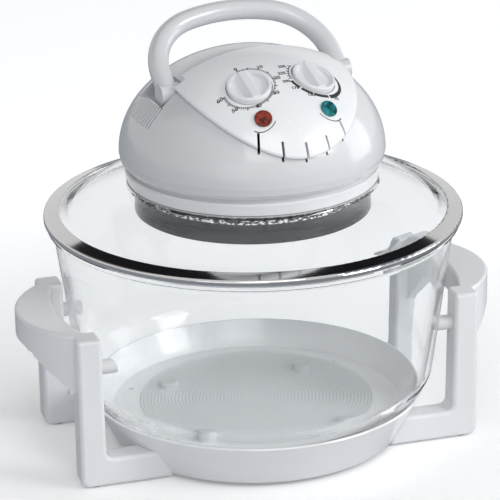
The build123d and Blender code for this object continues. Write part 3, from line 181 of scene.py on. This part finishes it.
def make_world():
    """White surroundings: bright to the eye, through glass and in metal, plain as light."""
    world = bpy.data.worlds.new("studio")
    bpy.context.scene.world = world
    world.use_nodes = True
    tree = world.node_tree
    nodes, links = tree.nodes, tree.links
    nodes.clear()
    light = nodes.new("ShaderNodeBackground")
    light.inputs["Color"].default_value = (*SKY_TINT, 1)
    light.inputs["Strength"].default_value = SKY_LIGHT
    white = nodes.new("ShaderNodeBackground")
    white.inputs["Strength"].default_value = 1.0
    path = nodes.new("ShaderNodeLightPath")
    seen = reckon(tree, "MAXIMUM", path.outputs["Is Camera Ray"],
                  path.outputs["Is Transmission Ray"])
    seen = reckon(tree, "MAXIMUM", seen, path.outputs["Is Glossy Ray"])
    mix = nodes.new("ShaderNodeMixShader")
    links.new(seen, mix.inputs["Fac"])
    links.new(light.outputs[0], mix.inputs[1])
    links.new(white.outputs[0], mix.inputs[2])
    out = nodes.new("ShaderNodeOutputWorld")
    links.new(mix.outputs[0], out.inputs["Surface"])


def floor_finish():
    """White worktop that keeps the shadows and looks grey only in polished metal; its glow is lower
    near the oven, a painted shadow.
    """
    material, tree, shader = new_material("worktop")
    nodes, links = tree.nodes, tree.links
    shader.inputs["Base Color"].default_value = (0.92, 0.92, 0.92, 1)
    shader.inputs["Roughness"].default_value = 0.7
    path = nodes.new("ShaderNodeLightPath")
    # less glow near the oven than far off: a painted shadow round it
    painted_shadow_glow = spread(tree, length_of(tree, place_of(tree)), GLOW_IN_PAINTED_SHADOW, GLOW_FAR, SHADOW_R, CLEAR_R)
    direct = reckon(tree, "MULTIPLY", path.outputs["Is Camera Ray"], painted_shadow_glow)
    gain = reckon(tree, "MULTIPLY_ADD", path.outputs["Is Transmission Ray"], GLOW_IN_GLASS, direct)
    glow = nodes.new("ShaderNodeEmission")
    links.new(gain, glow.inputs["Strength"])
    lit = nodes.new("ShaderNodeAddShader")
    links.new(shader.outputs[0], lit.inputs[0])
    links.new(glow.outputs[0], lit.inputs[1])
    grey = nodes.new("ShaderNodeEmission")
    grey.inputs["Color"].default_value = (*FLOOR_IN_METAL, 1)
    mirrored = reckon(tree, "GREATER_THAN", path.outputs["Is Glossy Ray"],
                      path.outputs["Is Transmission Ray"])
    mix = nodes.new("ShaderNodeMixShader")
    links.new(mirrored, mix.inputs["Fac"])
    links.new(lit.outputs[0], mix.inputs[1])
    links.new(grey.outputs[0], mix.inputs[2])
    links.new(mix.outputs[0], nodes["Material Output"].inputs["Surface"])
    return material


def make_floor():
    """Round floor under the oven."""
    mesh = bpy.data.meshes.new("floor")
    work = bmesh.new()
    bmesh.ops.create_circle(work, cap_ends=True, radius=FLOOR_R, segments=96)
    work.to_mesh(mesh)
    work.free()
    mesh.materials.append(floor_finish())
    floor = bpy.data.objects.new("floor", mesh)
    bpy.context.scene.collection.objects.link(floor)


def add_card(name, turn, color):
    """Dark card far behind the oven that only polished surfaces see; turn in degrees."""
    around = radians(turn) - CAMERA_TURN
    lift = radians(CARD_LIFT)
    out = Vector((sin(around) * cos(lift), cos(around) * cos(lift), sin(lift)))
    mesh = bpy.data.meshes.new(name)
    work = bmesh.new()
    bmesh.ops.create_grid(work, x_segments=1, y_segments=1, size=0.5)
    bmesh.ops.scale(work, vec=(CARD_W, CARD_H, 1), verts=work.verts)
    facing = (-out).to_track_quat("Z", "Y").to_matrix().to_4x4()
    bmesh.ops.transform(work, matrix=Matrix.Translation(out * CARD_FAR) @ facing, verts=work.verts)
    work.to_mesh(mesh)
    work.free()
    card = bpy.data.objects.new(name, mesh)
    bpy.context.scene.collection.objects.link(card)
    card.visible_camera = False
    card.visible_diffuse = False
    card.visible_transmission = False
    card.visible_shadow = False
    material = bpy.data.materials.new(name)
    material.use_nodes = True
    nodes, links = material.node_tree.nodes, material.node_tree.links
    nodes.clear()
    glow = nodes.new("ShaderNodeEmission")
    glow.inputs["Color"].default_value = (*color, 1)
    end = nodes.new("ShaderNodeOutputMaterial")
    links.new(glow.outputs[0], end.inputs["Surface"])
    mesh.materials.append(material)


def add_lamp(name, spot, aim, size, power, tint=(1, 1, 1)):
    """Soft square lamp at a spot, pointed at another; power in watts."""
    data = bpy.data.lights.new(name, "AREA")
    data.shape = "SQUARE"
    data.size = size
    data.energy = power
    data.color = tint
    lamp = bpy.data.objects.new(name, data)
    bpy.context.scene.collection.objects.link(lamp)
    lamp.location = spot
    lamp.rotation_mode = "QUATERNION"
    lamp.rotation_quaternion = (Vector(aim) - Vector(spot)).to_track_quat("-Z", "Y")


make_world()
make_floor()
add_card("card_left", -48, (0.22, 0.20, 0.18))
add_card("card_middle", 0, (0.012, 0.012, 0.014))
add_card("card_right", 48, (0.17, 0.20, 0.25))
add_lamp("key", spot=(1.5, -1.6, 1.4), aim=OVEN_MIDDLE, size=1.0, power=21)
add_lamp("top", spot=(-0.4, -1.75, 1.7), aim=OVEN_MIDDLE, size=1.2, power=12)
add_lamp("low", spot=(1.9, -0.3, 0.45), aim=(0, 0, 0.2), size=1.0, power=7, tint=(0.95, 0.97, 1.0))
add_lamp("fill", spot=(-1.3, -1.8, 0.4), aim=(0, 0, 0.05), size=1.4, power=3,
         tint=(0.92, 0.96, 1.0))

# ---------------------------------------------------------------- shared effects
VALUE = "NodeSocketFloat"
NORMAL = "NodeSocketVector"


def new_group(name, numbers, outputs):
    """Empty shader group with number inputs; outputs are given as name and kind."""
    group = bpy.data.node_groups.new(name, "ShaderNodeTree")
    for label, value in numbers.items():
        socket = group.interface.new_socket(label, in_out="INPUT", socket_type=VALUE)
        socket.default_value = value
    for label, kind in outputs.items():
        group.interface.new_socket(label, in_out="OUTPUT", socket_type=kind)
    given = group.nodes.new("NodeGroupInput").outputs
    result = group.nodes.new("NodeGroupOutput").inputs
    return group, given, result


def moulded_skin():
    """Slight waviness, fine grain and dull handled patches of a moulded piece."""
    group, given, result = new_group(
        "moulded skin", {"Gloss": 0.2, "Wave": 0.0003, "Patch": 0.06},
        {"Roughness": VALUE, "Shade": VALUE, "Normal": NORMAL})
    where = place_of(group)
    wave = clouds(group, where, 38, 2)
    grain = clouds(group, where, 900, 3)
    height = reckon(group, "MULTIPLY_ADD", grain, 0.08, wave)
    feed(group, relief(group, height, 0.25, given["Wave"]), result["Normal"])
    dull = clouds(group, where, 14, 4)
    rough = reckon(group, "MULTIPLY_ADD", dull, given["Patch"], given["Gloss"])
    feed(group, rough, result["Roughness"])
    feed(group, spread(group, dull, 0.96, 1.0), result["Shade"])
    return group


def drawn_lines():
    """Fine lines left by rolling or turning a metal piece, round its upright axis."""
    group, given, result = new_group(
        "drawn lines", {"Gloss": 0.2, "Depth": 0.0001, "Lines": 900.0},
        {"Roughness": VALUE, "Shade": VALUE, "Normal": NORMAL})
    reach, height = round_axis(group, place_of(group))
    across = group.nodes.new("ShaderNodeCombineXYZ")
    feed(group, reach, across.inputs["X"])
    feed(group, height, across.inputs["Y"])
    lines = clouds(group, across.outputs[0], given["Lines"], 3)
    feed(group, relief(group, lines, 0.4, given["Depth"]), result["Normal"])
    feed(group, reckon(group, "MULTIPLY_ADD", lines, 0.12, given["Gloss"]), result["Roughness"])
    feed(group, spread(group, lines, 0.86, 1.0), result["Shade"])
    return group


def small_facets():
    """Small facets, as in a cut lens or in crumpled foil; Flat presses them down."""
    group, given, result = new_group(
        "small facets",
        {"Count": 230.0, "Flat": 1.0, "Smooth": 0.08, "Dull": 0.25, "Relief": 0.5, "Depth": 0.0008},
        {"Mask": VALUE, "Roughness": VALUE, "Normal": NORMAL})
    scale = group.nodes.new("ShaderNodeCombineXYZ")
    scale.inputs["X"].default_value = 1
    scale.inputs["Y"].default_value = 1
    feed(group, given["Flat"], scale.inputs["Z"])
    stretch = group.nodes.new("ShaderNodeMapping")
    feed(group, place_of(group), stretch.inputs["Vector"])
    feed(group, scale.outputs[0], stretch.inputs["Scale"])
    mask = clouds(group, stretch.outputs["Vector"], given["Count"], 2)
    feed(group, mask, result["Mask"])
    feed(group, spread(group, mask, given["Smooth"], given["Dull"]), result["Roughness"])
    feed(group, relief(group, mask, given["Relief"], given["Depth"]), result["Normal"])
    return group


def glass_ripple():
    """Slow ripples and a trace of haze in pressed glass."""
    group, given, result = new_group(
        "glass ripple", {"Depth": 0.0006, "Haze": 0.02}, {"Roughness": VALUE, "Normal": NORMAL})
    ripple = clouds(group, place_of(group), 20, 1)
    feed(group, spread(group, ripple, 0.0, given["Haze"]), result["Roughness"])
    feed(group, relief(group, ripple, 0.12, given["Depth"]), result["Normal"])
    return group


MOULDED = moulded_skin()
DRAWN = drawn_lines()
FACETS = small_facets()
RIPPLE = glass_ripple()

# ---------------------------------------------------------------- finishes
GLASS_IOR = 1.3
RINGS_R = 0.097          # outside of the rings pressed in the bowl's floor
RINGS_TOP = BOWL_FLOOR_Z + 0.001
RING_PITCH = 0.0029
RING_STRENGTH = 0.03
RING_DEPTH = 0.0003
RING_HAZE = 0.16
RING_GREY = (0.72, 0.75, 0.76)
RING_MIDDLE = 0.55       # how much of the grey lies between light and dark rings
RING_SWING = 0.45


def use_effect(tree, effect, **numbers):
    """Places a shared effect in a material with its own values."""
    node = tree.nodes.new("ShaderNodeGroup")
    node.node_tree = effect
    for label, value in numbers.items():
        node.inputs[label].default_value = value
    return node.outputs


def finish_of(name, effect, color, metal=0.0, coat=0.0, **numbers):
    """Plastic, metal or rubber with one of the shared effects."""
    material, tree, shader = new_material(name)
    shader.inputs["Metallic"].default_value = metal
    shader.inputs["Coat Weight"].default_value = coat
    skin = use_effect(tree, effect, **numbers)
    tint = tree.nodes.new("ShaderNodeMix")
    tint.data_type = "RGBA"
    tint.blend_type = "MULTIPLY"
    tint.inputs["Factor"].default_value = 1
    tint.inputs["A"].default_value = (*color, 1)
    feed(tree, skin["Shade"], tint.inputs["B"])
    feed(tree, tint.outputs["Result"], shader.inputs["Base Color"])
    feed(tree, skin["Roughness"], shader.inputs["Roughness"])
    feed(tree, skin["Normal"], shader.inputs["Normal"])
    return material


def faceted(name, dark, light, start, end, **numbers):
    """Finish of small facets, dark below the start of their mask and light above its end: painted
    shade and painted highlights.
    """
    material, tree, shader = new_material(name)
    facets = use_effect(tree, FACETS, **numbers)
    ramp = tree.nodes.new("ShaderNodeValToRGB")
    low, high = ramp.color_ramp.elements
    low.color = (*dark, 1)
    low.position = start
    high.color = (*light, 1)
    high.position = end
    # colour ramp of painted shade and painted highlights
    feed(tree, facets["Mask"], ramp.inputs["Fac"])
    feed(tree, ramp.outputs["Color"], shader.inputs["Base Color"])
    feed(tree, facets["Roughness"], shader.inputs["Roughness"])
    feed(tree, facets["Normal"], shader.inputs["Normal"])
    return material, shader


def lamp_lens(name, dark, light):
    """Tinted plastic of an indicator lens: its own dark tint, lighter in its facets as painted
    highlights.
    """
    material, shader = faceted(name, dark, light, 0.38, 0.72)
    shader.inputs["Coat Weight"].default_value = 0.25
    shader.inputs["Coat Roughness"].default_value = 0.05
    shader.inputs["Specular IOR Level"].default_value = 0.25
    return material


def sparkling_steel(name, dark, light):
    """Crumpled look of the vent band: bright spots painted into its colour as glints, over
    near-black steel painted as shade.
    """
    material, shader = faceted(name, dark, light, 0.46, 0.58, Count=330, Flat=2.2, Smooth=0.12,
                               Dull=0.4, Relief=0.9, Depth=0.0016)
    shader.inputs["Metallic"].default_value = 1
    return material


def let_lamps_through(tree, shader):
    """Lets the light of lamps pass straight through a glass."""
    nodes, links = tree.nodes, tree.links
    path = nodes.new("ShaderNodeLightPath")
    open_glass = nodes.new("ShaderNodeBsdfTransparent")
    mix = nodes.new("ShaderNodeMixShader")
    links.new(path.outputs["Is Shadow Ray"], mix.inputs["Fac"])
    links.new(shader.outputs[0], mix.inputs[1])
    links.new(open_glass.outputs[0], mix.inputs[2])
    links.new(mix.outputs[0], nodes["Material Output"].inputs["Surface"])


def press_rings(tree, shader, color, ripple):
    """Fine rings in the bowl's floor: a shallow wave, a little haze and darker glass."""
    reach, height = round_axis(tree, place_of(tree))
    inside = reckon(tree, "LESS_THAN", reach, RINGS_R)
    low = reckon(tree, "LESS_THAN", height, RINGS_TOP)
    floor = reckon(tree, "MULTIPLY", inside, low)
    wave = reckon(tree, "SINE", reckon(tree, "MULTIPLY", reach, 2 * pi / RING_PITCH))
    rings = reckon(tree, "MULTIPLY", wave, floor)
    feed(tree, relief(tree, rings, RING_STRENGTH, RING_DEPTH, ripple["Normal"]),
         shader.inputs["Normal"])
    feed(tree, reckon(tree, "MULTIPLY_ADD", floor, RING_HAZE, ripple["Roughness"]),
         shader.inputs["Roughness"])
    middle = reckon(tree, "MULTIPLY", floor, RING_MIDDLE)
    grey = reckon(tree, "MULTIPLY_ADD", rings, RING_SWING, middle)
    tint = tree.nodes.new("ShaderNodeMix")
    tint.data_type = "RGBA"
    tint.inputs["A"].default_value = (*color, 1)
    tint.inputs["B"].default_value = (*RING_GREY, 1)
    feed(tree, grey, tint.inputs["Factor"])
    feed(tree, tint.outputs["Result"], shader.inputs["Base Color"])


def clear_glass(name, color, rings=False):
    """Clear pressed glass, with rings where it is the bowl's."""
    material, tree, shader = new_material(name)
    shader.inputs["Base Color"].default_value = (*color, 1)
    shader.inputs["Transmission Weight"].default_value = 1
    shader.inputs["IOR"].default_value = GLASS_IOR
    let_lamps_through(tree, shader)
    ripple = use_effect(tree, RIPPLE)
    if rings:
        press_rings(tree, shader, color, ripple)
    else:
        feed(tree, ripple["Normal"], shader.inputs["Normal"])
        feed(tree, ripple["Roughness"], shader.inputs["Roughness"])
    return material


WHITE = finish_of("white plastic", MOULDED, (0.84, 0.85, 0.865), coat=0.35, Gloss=0.2, Wave=0.0002,
                  Patch=0.08)
PANEL_WHITE = finish_of("panel plastic", MOULDED, (0.92, 0.93, 0.945), coat=0.3, Gloss=0.24,
                        Wave=0.0001, Patch=0.06)
# white plastic painted darker than the rest: painted shade on the head
SHADED_HEAD_WHITE = finish_of("head plastic painted in shade", MOULDED, (0.72, 0.73, 0.745), coat=0.5, Gloss=0.2,
                       Wave=0.0002, Patch=0.08)
KNOB_WHITE = finish_of("knob plastic", MOULDED, (0.86, 0.87, 0.885), coat=0.2, Gloss=0.28,
                       Wave=0.0001, Patch=0.08)
CHROME = finish_of("polished steel", DRAWN, (0.72, 0.72, 0.72), metal=1, Gloss=0.02, Depth=0.00003,
                   Lines=300)
BRUSHED = finish_of("brushed steel", DRAWN, (0.42, 0.42, 0.43), metal=1, Gloss=0.22, Depth=0.00008,
                    Lines=900)
# steel painted near black: painted dark reflections on the skirt
SKIRT_PAINTED_DARK = finish_of("skirt steel painted dark", DRAWN, (0.085, 0.085, 0.088), metal=1, Gloss=0.16, Depth=0.0001,
                  Lines=700)
# bright spots painted on near-black steel: painted glints and painted shade
VENTS_PAINTED_GLINTS = sparkling_steel("vent steel with painted glints", (0.05, 0.05, 0.052), (0.85, 0.86, 0.88))
ALUMINIUM = finish_of("sheet aluminium", DRAWN, (0.62, 0.62, 0.63), metal=1, Gloss=0.3,
                      Depth=0.00008, Lines=700)
ZINC = finish_of("zinc plate", MOULDED, (0.6, 0.6, 0.58), metal=1, Gloss=0.3, Patch=0.15)
SILICONE = finish_of("grey silicone", MOULDED, (0.5, 0.51, 0.52), Gloss=0.5, Patch=0.1)
PAD = finish_of("clear silicone", MOULDED, (0.72, 0.73, 0.74), Gloss=0.4, Patch=0.1)
RUBBER = finish_of("black rubber", MOULDED, (0.03, 0.03, 0.03), Gloss=0.65, Patch=0.1)
CERAMIC = finish_of("white ceramic", MOULDED, (0.8, 0.78, 0.72), Gloss=0.6, Patch=0.1)
DARK_PLASTIC = finish_of("dark moulding", MOULDED, (0.07, 0.07, 0.08), Gloss=0.5, Patch=0.1)
BOARD = finish_of("fibre board", MOULDED, (0.62, 0.55, 0.42), Gloss=0.8, Wave=0.001, Patch=0.1)
BRASS = finish_of("turned brass", DRAWN, (0.7, 0.53, 0.25), metal=1, Gloss=0.25)
LACQUER = finish_of("dark lacquer", MOULDED, (0.05, 0.055, 0.065), Gloss=0.35, Patch=0.1)
BOWL_GLASS = clear_glass("bowl glass", (0.965, 0.975, 0.98), rings=True)
LID_GLASS = clear_glass("lid glass", (0.97, 0.98, 0.985))
QUARTZ = clear_glass("quartz tube", (0.96, 0.94, 0.9))
# the lighter facets of the lens colours are painted highlights
RED_LENS = lamp_lens("red lens", (0.06, 0.005, 0.003), (0.42, 0.045, 0.02))
GREEN_LENS = lamp_lens("green lens", (0.002, 0.05, 0.06), (0.02, 0.30, 0.32))
INK = finish_of("black ink", MOULDED, (0.02, 0.02, 0.022), Gloss=0.45, Patch=0.1)

FINISHES = {
    WHITE: ("tray_base", "left_side_frame", "right_side_frame", "base_flange"),
    PANEL_WHITE: ("front_panel",),
    SHADED_HEAD_WHITE: ("rear_housing", "carry_handle", "mains_inlet"),
    KNOB_WHITE: ("timer_knob", "thermostat_knob"),
    CHROME: ("lid_rim",),
    SKIRT_PAINTED_DARK: ("heater_skirt",),
    VENTS_PAINTED_GLINTS: ("vent_ring",),
    BRUSHED: ("clamp_lugs", "fan_guard", "motor_bracket", "heat_shield"),
    ALUMINIUM: ("reflector", "convection_fan"),
    ZINC: ("frame_screws", "panel_screws", "housing_screws", "handle_pins", "fan_nut",
           "motor_shaft", "lamp_clips", "timer_spindle", "thermostat_spindle", "lamp_filament"),
    SILICONE: ("rim_gasket", "flange_gasket"),
    PAD: ("tray_pads", "bowl_pads"),
    RUBBER: ("rubber_feet",),
    CERAMIC: ("lamp_end_caps",),
    DARK_PLASTIC: ("lamp_holders", "timer_body", "thermostat_body", "safety_switch",
                   "switch_plunger", "cooling_fan", "terminal_block", "thermal_cutout"),
    BOARD: ("insulation_disc",),
    BRASS: ("motor_bushes", "thermostat_sensor"),
    LACQUER: ("motor_body", "motor_rotor"),
    BOWL_GLASS: ("glass_bowl",),
    LID_GLASS: ("glass_lid",),
    QUARTZ: ("halogen_lamp",),
    RED_LENS: ("red_lamp_lens",),
    GREEN_LENS: ("green_lamp_lens",),
}

for material, names in FINISHES.items():
    for name in names:
        for slot in NODES[name].material_slots:
            slot.material = material

# ---------------------------------------------------------------- printed dials
# Angles are in degrees, clockwise from the back, as seen from above.
PRINT_LIFT = 0.00012     # ink stands this much above the plastic
DIAL_R = 0.0202          # line of a printed ring round a knob
BACK_SCALE = 0.9         # prints are drawn shorter from back to front, as the panel slopes
DIAL_SCALE = 0.82
LAMP_SCALE = 0.64
WORD_SCALE = 0.88
BAND_STEP = 4            # degrees between the corners of a band
NUMBER_R = 0.0245
NUMBER_H = 0.0051
NUMBER_BOLD = 0.00014    # strokes are thickened this much to each side

TIMER_START = -4
TIMER_END = 272
TIMER_MINUTES = 60
TIMER_LINE_START = 81    # from here on a thin line joins the ticks
THIN_LINE = 0.0001       # half its width
TICK_W = 0.0008
TICK_L = 0.0018
TICK_OUT = 0.0006        # middle of a tick, out from the ring
LONG_TICK_EVERY = 5
LONG_TICK_W = 0.00104
LONG_TICK_L = 0.0027
LONG_TICK_OUT = 0.0011
NUMBER_EVERY = 10

BAND_IN = 0.0002         # the heat band starts this much inside the ring
OFF_DASH = (0, 9)
OFF_DASH_OUT = 0.0011
WARM_BAND = (24, 164)    # thickens with the heat
WARM_BAND_OUT = 0.0004
WARM_BAND_GROWS = 0.0025
HOT_BANDS = ((167, 199), (203, 228), (232, 257))
HOT_BAND_OUT = 0.0023
HOT_LINE = (262, 318)
HOT_LINE_HALF = 0.0003
HOT_TICKS = (266, 274, 282, 290, 300, 312)
HOT_TICK_L = 0.00288
HOT_TICK_OUT = 0.0005
HEAT_NUMBERS = (("125", 156), ("150", 203), ("175", 234), ("200", 258), ("225", 282), ("250", 303))
HEAT_NUMBER_OUT = 0.0012
HEAT_NUMBER_SHARE = 0.84

LAMP_ARC = (126, 238)
LAMP_ARC_R = 0.0104
LAMP_ARC_W = 0.0007


def panel_height(x, y):
    """Height of the panel's outside."""
    return DOME_Z + PANEL_RISE * sqrt(1 - (x * x + y * y) / PANEL_R ** 2)


def on_panel(centre, scale, x, y):
    """Point of a flat print round a centre, laid on the panel."""
    px, py = centre[0] + x, centre[1] + y * (BACK_SCALE if y > 0 else scale)
    return Vector((px, py, panel_height(px, py) + PRINT_LIFT))


class Print:
    """Flat ink marks drawn on the panel round one centre."""

    def __init__(self, name, centre, scale):
        self.name = name
        self.centre = centre
        self.scale = scale
        self.work = bmesh.new()

    def patch(self, corners):
        """One four-sided mark."""
        self.work.faces.new([self.work.verts.new(on_panel(self.centre, self.scale, x, y))
                             for x, y in corners])

    def band(self, start, end, inner, outer, grows=0.0):
        """Part of a ring; its outside may grow on the way."""
        steps = max(2, round((end - start) / BAND_STEP))
        for step in range(steps):
            edges = []
            for part in (step / steps, (step + 1) / steps):
                angle = radians(90 - (start + (end - start) * part))
                far = outer + grows * part
                edges.append(((inner * cos(angle), inner * sin(angle)),
                              (far * cos(angle), far * sin(angle))))
            self.patch((edges[0][0], edges[0][1], edges[1][1], edges[1][0]))

    def tick(self, degrees_round, radius, length, width):
        """Short line across the ring."""
        angle = radians(90 - degrees_round)
        out = Vector((cos(angle), sin(angle)))
        side = Vector((-out.y, out.x)) * width / 2
        near, far = out * (radius - length / 2), out * (radius + length / 2)
        self.patch([tuple(near - side), tuple(far - side), tuple(far + side), tuple(near + side)])

    def number(self, text, degrees_round, radius, height):
        """Upright number with its middle on a circle."""
        data = bpy.data.curves.new(self.name + " " + text, "FONT")
        data.body = text
        data.size = height
        data.offset = NUMBER_BOLD
        data.align_x = "CENTER"
        data.align_y = "CENTER"
        digits = bpy.data.objects.new(data.name, data)
        bpy.context.scene.collection.objects.link(digits)
        flat = bpy.data.meshes.new_from_object(digits)
        angle = radians(90 - degrees_round)
        for vertex in flat.vertices:
            vertex.co = on_panel(self.centre, self.scale * WORD_SCALE,
                                 vertex.co.x + radius * cos(angle),
                                 vertex.co.y + radius * sin(angle))
        self.work.from_mesh(flat)
        bpy.data.objects.remove(digits)

    def make(self):
        """Turns the marks into a piece on the lid."""
        bmesh.ops.recalc_face_normals(self.work, faces=self.work.faces)
        for face in self.work.faces:
            if face.normal.z < 0:
                face.normal_flip()
        mesh = bpy.data.meshes.new(self.name)
        self.work.to_mesh(mesh)
        self.work.free()
        mesh.materials.append(INK)
        piece = bpy.data.objects.new(self.name, mesh)
        bpy.context.scene.collection.objects.link(piece)
        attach(piece, "lid")


def timer_angle(minutes):
    """Angle of a time on the timer's scale."""
    return TIMER_START + (TIMER_END - TIMER_START) * minutes / TIMER_MINUTES


def print_timer():
    """Sixty-minute scale round the timer knob."""
    marks = Print("timer_print", (-KNOB_X, KNOB_Y), DIAL_SCALE)
    for minute in range(TIMER_MINUTES + 1):
        if minute % LONG_TICK_EVERY == 0:
            marks.tick(timer_angle(minute), DIAL_R + LONG_TICK_OUT, LONG_TICK_L, LONG_TICK_W)
        else:
            marks.tick(timer_angle(minute), DIAL_R + TICK_OUT, TICK_L, TICK_W)
    marks.band(TIMER_LINE_START, TIMER_END, DIAL_R - THIN_LINE, DIAL_R + THIN_LINE)
    for minutes in range(0, TIMER_MINUTES + 1, NUMBER_EVERY):
        marks.number(str(minutes), timer_angle(minutes), NUMBER_R, NUMBER_H)
    marks.make()


def print_thermostat():
    """Heat scale round the thermostat knob: a band that thickens with the heat."""
    marks = Print("thermostat_print", (KNOB_X, KNOB_Y), DIAL_SCALE)
    marks.band(*OFF_DASH, DIAL_R - BAND_IN, DIAL_R + OFF_DASH_OUT)
    marks.band(*WARM_BAND, DIAL_R - BAND_IN, DIAL_R + WARM_BAND_OUT, grows=WARM_BAND_GROWS)
    for start, end in HOT_BANDS:
        marks.band(start, end, DIAL_R - BAND_IN, DIAL_R + HOT_BAND_OUT)
    marks.band(*HOT_LINE, DIAL_R - HOT_LINE_HALF, DIAL_R + HOT_LINE_HALF)
    for angle in HOT_TICKS:
        marks.tick(angle, DIAL_R + HOT_TICK_OUT, HOT_TICK_L, TICK_W)
    for degrees_hot, angle in HEAT_NUMBERS:
        marks.number(degrees_hot, angle, NUMBER_R + HEAT_NUMBER_OUT, NUMBER_H * HEAT_NUMBER_SHARE)
    marks.make()


def print_lamp_marks():
    """Curved line below each indicator lamp."""
    for name, side in (("red_lamp_mark", -1), ("green_lamp_mark", 1)):
        marks = Print(name, (side * LENS_X, LENS_Y), LAMP_SCALE)
        marks.band(*LAMP_ARC, LAMP_ARC_R, LAMP_ARC_R + LAMP_ARC_W)
        marks.make()


print_timer()
print_thermostat()
print_lamp_marks()
